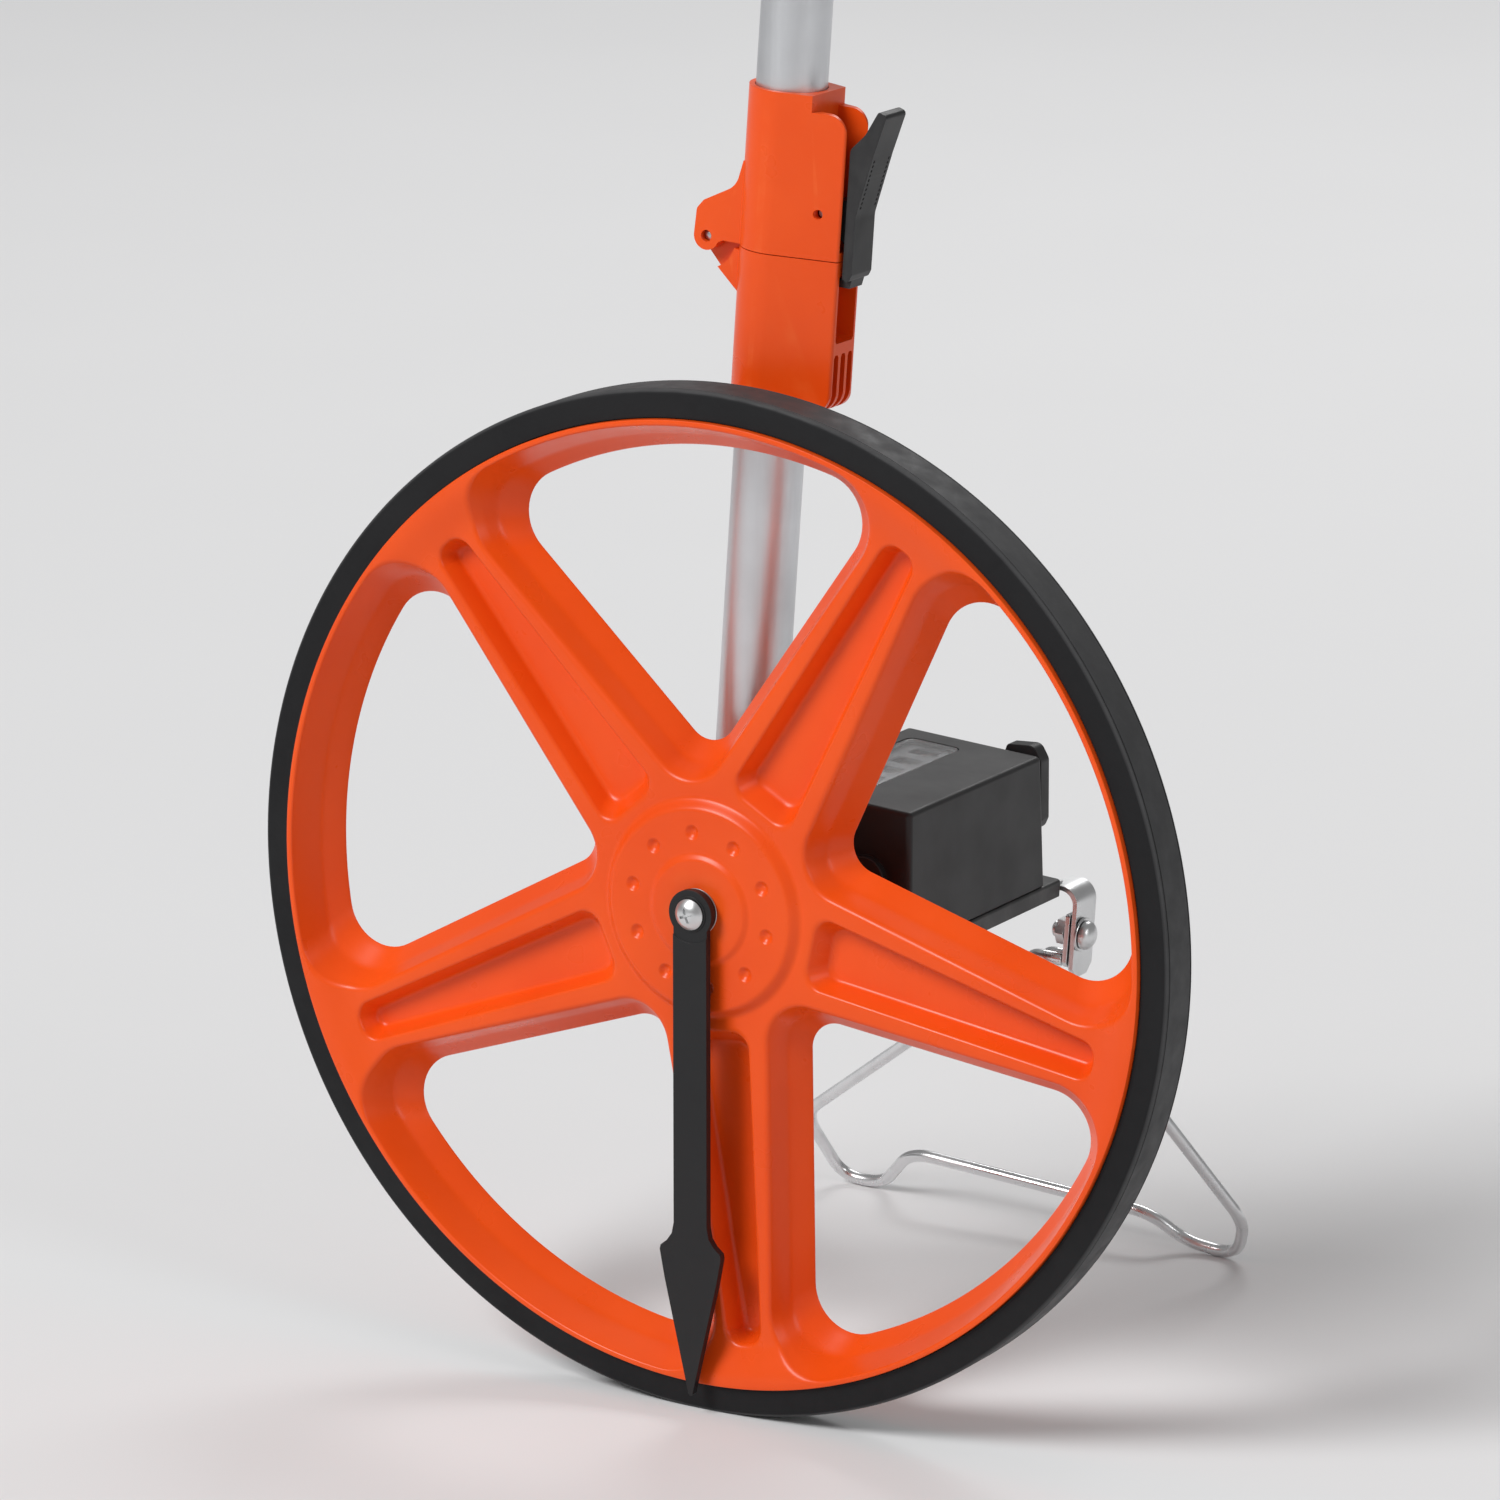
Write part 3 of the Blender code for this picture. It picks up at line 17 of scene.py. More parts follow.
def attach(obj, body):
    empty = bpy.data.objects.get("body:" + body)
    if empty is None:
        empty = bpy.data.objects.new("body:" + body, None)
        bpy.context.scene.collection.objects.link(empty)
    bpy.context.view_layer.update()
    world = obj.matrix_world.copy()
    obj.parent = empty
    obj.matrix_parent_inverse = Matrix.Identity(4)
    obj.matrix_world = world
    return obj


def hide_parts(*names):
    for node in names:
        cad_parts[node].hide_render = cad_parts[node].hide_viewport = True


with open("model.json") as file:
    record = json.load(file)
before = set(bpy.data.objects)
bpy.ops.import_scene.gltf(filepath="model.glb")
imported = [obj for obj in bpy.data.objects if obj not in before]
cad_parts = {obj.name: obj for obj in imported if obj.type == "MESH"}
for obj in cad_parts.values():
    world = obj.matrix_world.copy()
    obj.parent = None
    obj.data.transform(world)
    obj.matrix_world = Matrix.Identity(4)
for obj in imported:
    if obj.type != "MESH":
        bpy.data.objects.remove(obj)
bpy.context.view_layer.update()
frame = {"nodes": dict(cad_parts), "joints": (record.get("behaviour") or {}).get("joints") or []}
MM = 0.001
WELD = 2e-6  # metres: points of a finished mesh that are one
SEAM = 1e-4  # millimetres: points of a shape being drawn that are one
JOINTS = {joint["name"]: joint for joint in frame["joints"]}
NODES = frame["nodes"]

# --- frames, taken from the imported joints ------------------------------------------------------
AXLE = Vector(JOINTS["wheel_spin"]["pos_m"])
LEAN_AXIS = Vector(JOINTS["stand_fold"]["axis"])
LEAN = math.atan2(-LEAN_AXIS.z, LEAN_AXIS.x)
WHEEL = Matrix.Translation(AXLE)
POLE = WHEEL @ Matrix.Rotation(LEAN, 4, "Y")
TUBE_U = -9.5
TUBE_Y = 31.5
TUBE = POLE @ Matrix.Translation(Vector((TUBE_U, TUBE_Y, 0.0)) * MM)
TAU = 2.0 * math.pi


# --- mesh helpers ------------------------------------------------------------------------------
def arc(centre, radius, start, end, steps):
    """Points on a circular arc, both ends included."""
    return [
        (centre[0] + radius * math.cos(start + (end - start) * i / steps),
         centre[1] + radius * math.sin(start + (end - start) * i / steps))
        for i in range(steps + 1)
    ]


def circle(radius, count, centre=(0.0, 0.0)):
    """Closed loop of points on a circle."""
    return arc(centre, radius, 0.0, TAU, count)[:-1]


def rounded(corners, radii, steps):
    """Closed outline with each corner replaced by a fillet of its own radius."""
    count = len(corners)
    outline = []
    for index, radius in enumerate(radii):
        corner = Vector(corners[index])
        back = (Vector(corners[index - 1]) - corner).normalized()
        ahead = (Vector(corners[(index + 1) % count]) - corner).normalized()
        if radius <= 0.0:
            outline.append(tuple(corner))
            continue
        half = back.angle(ahead) / 2.0
        centre = corner + (back + ahead).normalized() * (radius / math.sin(half))
        first = corner + back * (radius / math.tan(half)) - centre
        last = corner + ahead * (radius / math.tan(half)) - centre
        sweep = first.angle_signed(last)
        for step in range(steps + 1):
            turn = Matrix.Rotation(-sweep * step / steps, 2)
            outline.append(tuple(centre + turn @ first))
    return outline


def rectangle(u_span, v_span, radius, steps):
    """Rounded rectangle outline."""
    (left, right), (low, high) = u_span, v_span
    return rounded([(left, low), (right, low), (right, high), (left, high)], (radius,) * 4, steps)


def rotated(outline, angle):
    """Turn a flat outline about the origin."""
    cos_a, sin_a = math.cos(angle), math.sin(angle)
    return [(a * cos_a - b * sin_a, a * sin_a + b * cos_a) for a, b in outline]


def block(x_span, y_span, z_span):
    """Axis-aligned cutter box between the three spans."""
    spans = (x_span, y_span, z_span)
    size = [high - low for low, high in spans]
    middle = [(high + low) / 2.0 for low, high in spans]
    bm = bmesh.new()
    bmesh.ops.create_cube(bm, size=1.0, matrix=Matrix.Translation(middle) @ Matrix.Diagonal((*size, 1.0)))
    return bm


def lathe(profile, segments, axis="Y", centre=(0.0, 0.0)):
    """Revolve a closed (radius, height) loop about an axis through centre on the other two axes."""
    bm = bmesh.new()
    loop = [bm.verts.new((radius, 0.0, height)) for radius, height in profile]
    for start, end in zip(loop, loop[1:] + loop[:1]):
        bm.edges.new((start, end))
    bmesh.ops.spin(
        bm, geom=bm.verts[:] + bm.edges[:], axis=(0.0, 0.0, 1.0), cent=(0.0, 0.0, 0.0),
        steps=segments, angle=TAU, use_merge=True, use_duplicate=False,
    )
    bmesh.ops.remove_doubles(bm, verts=bm.verts, dist=SEAM)
    turn = {
        "Z": Matrix.Translation((centre[0], centre[1], 0.0)),
        "Y": Matrix.Translation((centre[0], 0.0, centre[1])) @ Matrix.Rotation(-math.pi / 2.0, 4, "X"),
        "X": Matrix.Translation((0.0, centre[0], centre[1])) @ Matrix.Rotation(math.pi / 2.0, 4, "Y"),
    }
    bmesh.ops.transform(bm, matrix=turn[axis], verts=bm.verts)
    return bm


def rod(radius, span, segments, axis="Y", centre=(0.0, 0.0)):
    """Solid cylinder between two heights of an axis."""
    low, high = span
    return lathe([(0.0, low), (radius, low), (radius, high), (0.0, high)], segments, axis, centre)


def ring(inner, outer, span, segments=64, axis="Y", centre=(0.0, 0.0), edge=0.0):
    """Plain bush between two heights of an axis, its four edges broken by edge."""
    low, high = span
    profile = [(inner, low), (outer, low), (outer, high), (inner, high)]
    if edge > 0.0:
        profile = [
            (inner + edge, low), (outer - edge, low), (outer, low + edge), (outer, high - edge),
            (outer - edge, high), (inner + edge, high), (inner, high - edge), (inner, low + edge),
        ]
    return lathe(profile, segments, axis, centre)


def prism(outline, span, normal="Y"):
    """Extrude a closed outline, given on the other two axes in order, along a normal."""
    low, high = span
    bm = bmesh.new()
    place = {
        "X": lambda a, b, depth: (depth, a, b),
        "Y": lambda a, b, depth: (a, depth, b),
        "Z": lambda a, b, depth: (a, b, depth),
    }[normal]
    face = bm.faces.new([bm.verts.new(place(a, b, low)) for a, b in outline])
    extruded = bmesh.ops.extrude_face_region(bm, geom=[face])
    lifted = [item for item in extruded["geom"] if isinstance(item, bmesh.types.BMVert)]
    bmesh.ops.translate(bm, verts=lifted, vec=Vector(place(0.0, 0.0, high - low)))
    return bm


def loft(rings):
    """Closed solid through a list of vertex rings of equal length, capped at both ends."""
    bm = bmesh.new()
    layers = [[bm.verts.new(point) for point in one] for one in rings]
    for lower, upper in zip(layers, layers[1:]):
        for corners in zip(lower, lower[1:] + lower[:1], upper[1:] + upper[:1], upper):
            bm.faces.new(corners)
    bm.faces.new(layers[0])
    bm.faces.new(layers[-1])
    return bm


def join(*solids):
    """Gather separate bmeshes into one."""
    result = bmesh.new()
    for solid in solids:
        mesh = bpy.data.meshes.new("join")
        solid.to_mesh(mesh)
        solid.free()
        result.from_mesh(mesh)
        bpy.data.meshes.remove(mesh)
    return result


def bake(name, bm, space):
    """Make an object from a bmesh drawn in millimetres in one of the frames."""
    bmesh.ops.recalc_face_normals(bm, faces=bm.faces)
    bmesh.ops.transform(bm, matrix=space @ Matrix.Scale(MM, 4), verts=bm.verts)
    mesh = bpy.data.meshes.new(name)
    bm.to_mesh(mesh)
    bm.free()
    obj = bpy.data.objects.new(name, mesh)
    bpy.context.scene.collection.objects.link(obj)
    return obj


def settle(obj):
    """Turn an object's modifiers into plain mesh."""
    depsgraph = bpy.context.evaluated_depsgraph_get()
    mesh = bpy.data.meshes.new_from_object(obj.evaluated_get(depsgraph))
    obj.modifiers.clear()
    obj.data = mesh


def edit_mesh(obj, change):
    """Run a change on an object's mesh, its doubles joined first."""
    bm = bmesh.new()
    bm.from_mesh(obj.data)
    bmesh.ops.remove_doubles(bm, verts=bm.verts, dist=WELD)
    change(bm)
    bm.to_mesh(obj.data)
    bm.free()


def close_gaps(bm):
    """Remove the hairline slits that a Boolean leaves, so that the mesh stays closed."""
    bmesh.ops.dissolve_degenerate(bm, edges=bm.edges, dist=WELD)
    gaps = [edge for edge in bm.edges if edge.is_boundary]
    bmesh.ops.holes_fill(bm, edges=gaps, sides=0)


def merge_flat_faces(bm):
    """Join the coplanar slivers that Booleans leave, so that flat faces shade flat."""
    bmesh.ops.dissolve_limit(bm, angle_limit=math.radians(0.3), verts=bm.verts, edges=bm.edges)


def combine(obj, solid, space, operation):
    """Boolean of an object with a closed bmesh, which is used up."""
    cutter = bake("cutter", solid, space)
    boolean = obj.modifiers.new("boolean", "BOOLEAN")
    boolean.operation = operation
    boolean.solver = "EXACT"
    boolean.object = cutter
    settle(obj)
    bpy.data.objects.remove(cutter, do_unlink=True)
    edit_mesh(obj, close_gaps)


def cut(obj, space, *solids):
    """Take closed bmeshes out of an object, one after another."""
    for solid in solids:
        combine(obj, solid, space, "DIFFERENCE")


def add(obj, space, *solids):
    """Join closed bmeshes on to an object, one after another."""
    for solid in solids:
        combine(obj, solid, space, "UNION")


def round_edges(obj, width, segments, sharp):
    """Bevel the edges that are sharper than an angle in degrees."""
    bevel = obj.modifiers.new("rounded_edges", "BEVEL")
    bevel.width = width * MM
    bevel.segments = segments
    bevel.limit_method = "ANGLE"
    bevel.angle_limit = math.radians(sharp)
    return bevel


def finish_piece(obj, body, slot, material, nodes, edge=0.0, sharp=35.0):
    """Shade a mesh, round its sharp edges, give it its material and hang it on its CAD body."""
    if edge > 0.0:
        edit_mesh(obj, merge_flat_faces)
    obj.data.materials.clear()
    obj.data.materials.append(material)
    obj.data.shade_smooth()
    if edge > 0.0:
        round_edges(obj, edge, 3, sharp).miter_outer = "MITER_ARC"
        obj.modifiers.new("flat_faces", "WEIGHTED_NORMAL").keep_sharp = True
    else:
        obj.data.set_sharp_from_angle(angle=math.radians(sharp))
    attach(obj, body)
    if nodes:
        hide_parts(*nodes)


# --- material helpers --------------------------------------------------------------------------
class Shader:
    """A node material with a Principled shader and short calls for the nodes it is fed from."""

    def __init__(self, name, colour, roughness, metallic=0.0, specular=0.5):
        self.material = bpy.data.materials.new(name)
        self.material.use_nodes = True
        self.tree = self.material.node_tree
        self.out = self.tree.nodes["Principled BSDF"]
        self.out.inputs["Base Color"].default_value = (*colour, 1.0)
        self.out.inputs["Roughness"].default_value = roughness
        self.out.inputs["Metallic"].default_value = metallic
        self.out.inputs["Specular IOR Level"].default_value = specular
        self.coords = self.tree.nodes.new("ShaderNodeTexCoord").outputs["Object"]

    def link(self, source, target):
        self.tree.links.new(source, target)

    def mapped(self, scale, rotation=(0.0, 0.0, 0.0)):
        node = self.tree.nodes.new("ShaderNodeMapping")
        node.inputs["Scale"].default_value = scale
        node.inputs["Rotation"].default_value = rotation
        self.link(self.coords, node.inputs["Vector"])
        return node.outputs["Vector"]

    def noise(self, scale, detail, vector=None, roughness=0.5):
        node = self.tree.nodes.new("ShaderNodeTexNoise")
        node.inputs["Scale"].default_value = scale
        node.inputs["Detail"].default_value = detail
        node.inputs["Roughness"].default_value = roughness
        self.link(vector if vector is not None else self.coords, node.inputs["Vector"])
        return node.outputs["Fac"]

    def remap(self, value, low, high, start, end):
        node = self.tree.nodes.new("ShaderNodeMapRange")
        for key, number in (("From Min", low), ("From Max", high), ("To Min", start), ("To Max", end)):
            node.inputs[key].default_value = number
        self.link(value, node.inputs["Value"])
        return node.outputs["Result"]

    def mix(self, factor, first, second):
        node = self.tree.nodes.new("ShaderNodeMix")
        node.data_type = "RGBA"
        self.link(factor, node.inputs["Factor"])
        for socket, value in ((node.inputs["A"], first), (node.inputs["B"], second)):
            if isinstance(value, tuple):
                socket.default_value = (*value, 1.0)
            else:
                self.link(value, socket)
        return node.outputs["Result"]

    def math(self, operation, first, second=0.0):
        node = self.tree.nodes.new("ShaderNodeMath")
        node.operation = operation
        for socket, value in ((node.inputs[0], first), (node.inputs[1], second)):
            if isinstance(value, (int, float)):
                socket.default_value = value
            else:
                self.link(value, socket)
        return node.outputs["Value"]

    def bump(self, height, strength, distance):
        node = self.tree.nodes.new("ShaderNodeBump")
        node.inputs["Strength"].default_value = strength
        node.inputs["Distance"].default_value = distance
        self.link(height, node.inputs["Height"])
        previous = self.out.inputs["Normal"]
        if previous.is_linked:
            self.link(previous.links[0].from_socket, node.inputs["Normal"])
        self.link(node.outputs["Normal"], previous)

    def colour(self, source):
        self.link(source, self.out.inputs["Base Color"])

    def roughness(self, source):
        self.link(source, self.out.inputs["Roughness"])

    def worn_edges(self, base, edge_colour, low=0.52, high=0.60, amount=0.5):
        """Base colour turned toward edge_colour where the surface is convex and a patchy noise agrees."""
        geometry_node = self.tree.nodes.new("ShaderNodeNewGeometry")
        convex = self.remap(geometry_node.outputs["Pointiness"], low, high, 0.0, amount)
        patches = self.remap(self.noise(140.0, 2.0), 0.40, 0.66, 0.1, 0.8)
        return self.mix(self.math("MULTIPLY", convex, patches), base, edge_colour)


def moulded_plastic(name, colour, shade, gloss, grain=2600.0, grain_depth=0.00004, wear=None, specular=0.5):
    """Injection-moulded plastic: faint flow clouds, fine surface grain, patchy sheen and rubbed edges."""
    s = Shader(name, colour, gloss, specular=specular)
    clouds = s.remap(s.noise(22.0, 3.0), 0.35, 0.7, 0.0, 1.0)
    base = s.mix(clouds, colour, shade)
    if wear is not None:
        base = s.worn_edges(base, wear)
    s.colour(base)
    smears = s.noise(65.0, 3.0)
    s.roughness(s.remap(smears, 0.3, 0.75, gloss - 0.04, gloss + 0.07))
    s.bump(s.noise(grain, 2.0), 0.25, grain_depth)
    s.bump(s.noise(9.0, 1.0), 0.12, 0.0006)
    return s.material


def drawn_metal(name, colour, rough, along):
    """Metal with fine drawing lines along one of the object's axes (0, 1 or 2 in the pole's frame)."""
    streak, spread, depth = 900.0, 0.12, 0.000012
    s = Shader(name, colour, rough, 1.0)
    scale = [streak, streak, streak]
    scale[along] = streak / 60.0
    lines = s.noise(1.0, 4.0, s.mapped(tuple(scale), (0.0, -LEAN, 0.0)), 0.6)
    clouds = s.noise(30.0, 4.0)
    s.roughness(s.remap(s.math("ADD", s.math("MULTIPLY", lines, 0.6), s.math("MULTIPLY", clouds, 0.4)),
                        0.3, 0.7, rough - spread / 2.0, rough + spread))
    dark = tuple(0.86 * channel for channel in colour)
    s.colour(s.mix(s.remap(clouds, 0.35, 0.7, 0.0, 1.0), colour, dark))
    s.bump(lines, 0.3, depth)
    return s.material


def plated_metal(name, colour, rough):
    """Bright plated steel: cloudy sheen, faint pits and a few rub marks."""
    s = Shader(name, colour, rough, 1.0)
    clouds = s.noise(55.0, 5.0, roughness=0.6)
    s.roughness(s.remap(clouds, 0.3, 0.7, rough - 0.05, rough + 0.16))
    tarnish = tuple(0.74 * channel for channel in colour)
    s.colour(s.mix(s.remap(s.noise(120.0, 4.0), 0.5, 0.75, 0.0, 0.35), colour, tarnish))
    s.bump(s.noise(1500.0, 2.0), 0.15, 0.00003)
    return s.material


def painted_sheet(name, colour, rough):
    """Satin black paint over steel: orange peel, dust and rubbed corners."""
    s = Shader(name, colour, rough)
    dust = s.remap(s.noise(70.0, 6.0, roughness=0.7), 0.5, 0.72, 0.0, 0.35)
    base = s.mix(dust, colour, (0.12, 0.115, 0.11))
    s.colour(s.worn_edges(base, (0.25, 0.25, 0.25), 0.54, 0.64, 0.5))
    s.roughness(s.remap(s.noise(45.0, 4.0), 0.3, 0.7, rough - 0.08, rough + 0.12))
    s.bump(s.noise(900.0, 2.0), 0.2, 0.00005)
    return s.material


def tyre_rubber():
    """Moulded rubber, darker on the wall and lighter on the tread, the tread's grey partly dust and partly a
    painted sheen.
    """
    s = Shader("tyre_rubber", (0.02, 0.02, 0.021), 0.62, specular=0.24)
    split = s.tree.nodes.new("ShaderNodeSeparateXYZ")
    s.link(s.coords, split.inputs["Vector"])
    up = s.math("SUBTRACT", split.outputs["Z"], AXLE.z)
    squares = s.math("ADD", s.math("POWER", split.outputs["X"], 2.0), s.math("POWER", up, 2.0))
    radius = s.math("SQRT", squares)
    # Tread mask: the tread is turned grey partly as dust and partly as a painted sheen for light it does not
    # get.
    tread = s.remap(radius, AXLE.z - 0.0011, AXLE.z - 0.0003, 0.0, 1.0)
    scuffs = s.remap(s.noise(110.0, 4.0, roughness=0.6), 0.35, 0.75, 0.8, 1.0)
    dust = s.math("MULTIPLY", tread, scuffs)
    patches = s.remap(s.noise(40.0, 4.0), 0.35, 0.7, 0.0, 1.0)
    wall = s.mix(patches, (0.007, 0.007, 0.008), (0.010, 0.010, 0.011))
    # Tread grey: dust plus a painted sheen.
    s.colour(s.mix(dust, wall, (0.070, 0.070, 0.072)))
    s.roughness(s.remap(s.noise(160.0, 4.0), 0.3, 0.7, 0.5, 0.72))
    s.bump(s.noise(1800.0, 3.0), 0.35, 0.00006)
    s.bump(s.noise(260.0, 4.0), 0.18, 0.00012)
    return s.material


def clear_window():
    """Clear moulded lens with faint haze and handling scratches."""
    s = Shader("window_clear", (0.93, 0.95, 0.96), 0.06)
    s.out.inputs["Transmission Weight"].default_value = 0.88
    s.out.inputs["IOR"].default_value = 1.46
    scratches = s.noise(1.0, 3.0, s.mapped((2500.0, 90.0, 400.0), (0.0, 0.0, 0.5)))
    s.roughness(s.remap(scratches, 0.55, 0.8, 0.05, 0.22))
    s.bump(s.noise(60.0, 2.0), 0.1, 0.0001)
    return s.material


def printed_silver():
    """Silver card behind the window, brushed across."""
    s = Shader("silver_card", (0.55, 0.56, 0.57), 0.4, 0.35)
    s.roughness(s.remap(s.noise(1.0, 3.0, s.mapped((1500.0, 60.0, 1500.0))), 0.3, 0.7, 0.32, 0.5))
    s.colour(s.mix(s.noise(50.0, 3.0), (0.50, 0.51, 0.52), (0.62, 0.63, 0.64)))
    return s.material


def oily_bronze():
    """Sintered bronze bush, porous and oil-dark in patches."""
    s = Shader("sintered_bronze", (0.5, 0.33, 0.15), 0.42, 1.0)
    oil = s.remap(s.noise(300.0, 5.0), 0.4, 0.65, 0.0, 1.0)
    s.colour(s.mix(oil, (0.52, 0.35, 0.17), (0.28, 0.18, 0.09)))
    s.roughness(s.remap(s.noise(500.0, 4.0), 0.3, 0.7, 0.3, 0.55))
    s.bump(s.noise(1600.0, 2.0), 0.3, 0.00004)
    return s.material


ORANGE = moulded_plastic("orange_moulding", (0.84, 0.086, 0.006), (0.79, 0.072, 0.004), 0.30,
                         wear=(0.88, 0.15, 0.03), specular=0.32)
BLACK = moulded_plastic("black_moulding", (0.016, 0.016, 0.017), (0.019, 0.019, 0.020), 0.45, 1900.0, 0.00006,
                        wear=(0.040, 0.040, 0.040), specular=0.42)
POINTER_BLACK = moulded_plastic("pointer_black", (0.009, 0.009, 0.010), (0.011, 0.011, 0.012), 0.46, 2400.0,
                                0.00004, wear=(0.030, 0.030, 0.030), specular=0.36)
GRIP = moulded_plastic("grip_soft_black", (0.020, 0.020, 0.021), (0.030, 0.030, 0.031), 0.6, 1300.0, 0.00018,
                       wear=(0.06, 0.06, 0.06), specular=0.35)
NATURAL = moulded_plastic("natural_nylon", (0.76, 0.74, 0.68), (0.68, 0.65, 0.57), 0.42)
DRUM_WHITE = moulded_plastic("drum_white", (0.80, 0.80, 0.77), (0.72, 0.71, 0.67), 0.45)
DRUM_RED = moulded_plastic("drum_red", (0.50, 0.02, 0.015), (0.42, 0.016, 0.012), 0.45)
INK_BLACK = moulded_plastic("ink_black", (0.012, 0.012, 0.012), (0.020, 0.020, 0.020), 0.5)
INK_WHITE = moulded_plastic("ink_white", (0.82, 0.82, 0.80), (0.74, 0.74, 0.72), 0.5)
ALUMINIUM = drawn_metal("drawn_aluminium", (0.74, 0.75, 0.77), 0.40, 2)
STEEL = drawn_metal("turned_steel", (0.58, 0.585, 0.60), 0.30, 1)
PLATED = plated_metal("bright_plate", (0.74, 0.745, 0.75), 0.30)
WIRE = plated_metal("plated_wire", (0.78, 0.78, 0.79), 0.22)
PAINT = painted_sheet("black_paint", (0.028, 0.028, 0.029), 0.42)
CAST = painted_sheet("cast_black", (0.025, 0.025, 0.026), 0.55)
RUBBER = tyre_rubber()
CLEAR = clear_window()
CARD = printed_silver()
BRONZE = oily_bronze()


# --- wheel -------------------------------------------------------------------------------------
SPOKE_COUNT = 5
SPOKE_PITCH = TAU / SPOKE_COUNT
FIRST_SPOKE = math.radians(60.0)
SPOKE_GAUGE_R = 63.0  # the spoke's half width is given at this radius
SPOKE_HALF = 24.0
OPENING_R = 139.2
SPOKE_TAPER = 0.0887
RIM_R = 150.2
LIP_R = 149.7
RIM_BACK = 8.0
KINK_Y = 1.0
KINK_GROWTH = 5.2
DRAFT = 4.36 / 12.0
EDGE_SLOPE = 0.363
HUB_RING = 96
RIM_RING = 360
FRONT_POCKET = (38.0, 137.0, 11.6, 5.9, 5.6)
BACK_POCKET = (38.0, 133.0, 22.0, 14.2, 6.0)
HUB_FACE_Y = -9.5
FRONT_PROFILE = (
    (0.0, -10.5), (15.4, -10.5), (17.8, HUB_FACE_Y), (30.8, HUB_FACE_Y), (34.6, -7.0), (135.0, -7.0),
    (148.4, -10.0), (170.0, -10.0),
)


def front_y(x, z):
    """Depth of the wheel's front face at a point, with soft steps between its levels."""
    radius = math.hypot(x, z)
    for (r0, y0), (r1, y1) in zip(FRONT_PROFILE, FRONT_PROFILE[1:]):
        if radius <= r1:
            t = (radius - r0) / (r1 - r0)
            return y0 + (y1 - y0) * t * t * (3.0 - 2.0 * t)
    return FRONT_PROFILE[-1][1]


def opening_growth(y):
    """How far the gap between two spokes has widened at a depth, with a soft kink."""
    total = 0.0
    for shift in (-0.8, 0.0, 0.8):
        depth = y + shift
        if depth < KINK_Y:
            total += KINK_GROWTH + (KINK_Y - depth) * DRAFT
        else:
            total += KINK_GROWTH * max(RIM_BACK - depth, 0.0) / (RIM_BACK - KINK_Y)
    return total / 3.0


def subdivide(start, end, steps):
    """Points strictly between two flat points."""
    return [tuple(Vector(start).lerp(Vector(end), i / steps)) for i in range(1, steps)]


def opening_outline(growth):
    """Outline of the gap between the spokes at -36 and +36 degrees, always with the same point count."""
    half = SPOKE_PITCH / 2.0
    lean = math.atan(SPOKE_TAPER)
    outer_r = OPENING_R + growth
    edge_at_zero = SPOKE_HALF + SPOKE_TAPER * SPOKE_GAUGE_R - growth / math.cos(lean)
    edge_angle = half + lean
    corner_r = edge_at_zero / (math.sin(half) + SPOKE_TAPER * math.cos(half))
    corner = Vector((corner_r, 0.0))
    along = Vector((math.cos(edge_angle), math.sin(edge_angle)))
    inward = Vector((math.sin(edge_angle), -math.cos(edge_angle)))
    hub_fillet = 8.6 + 0.6 * growth
    outer_fillet = 14.0 + 0.4 * growth
    hub_centre = (corner_r + hub_fillet / math.sin(edge_angle), 0.0)
    base = corner + inward * outer_fillet
    distance = outer_r - outer_fillet
    reach = -base.dot(along) + math.sqrt(base.dot(along) ** 2 - base.length_squared + distance ** 2)
    outer_centre = base + along * reach
    outer_angle = math.atan2(outer_centre.y, outer_centre.x)
    upper = arc(outer_centre, outer_fillet, outer_angle, edge_angle + math.pi / 2.0, 16)
    hub = arc(hub_centre, hub_fillet, edge_angle + math.pi / 2.0, 1.5 * math.pi - edge_angle, 20)
    side = subdivide(upper[-1], hub[0], 20)
    lower = [(x, -z) for x, z in reversed(upper)]
    lower_side = [(x, -z) for x, z in reversed(side)]
    rim = arc((0.0, 0.0), outer_r, -outer_angle, outer_angle, 44)[1:-1]
    return upper + side + hub + lower_side + lower + rim


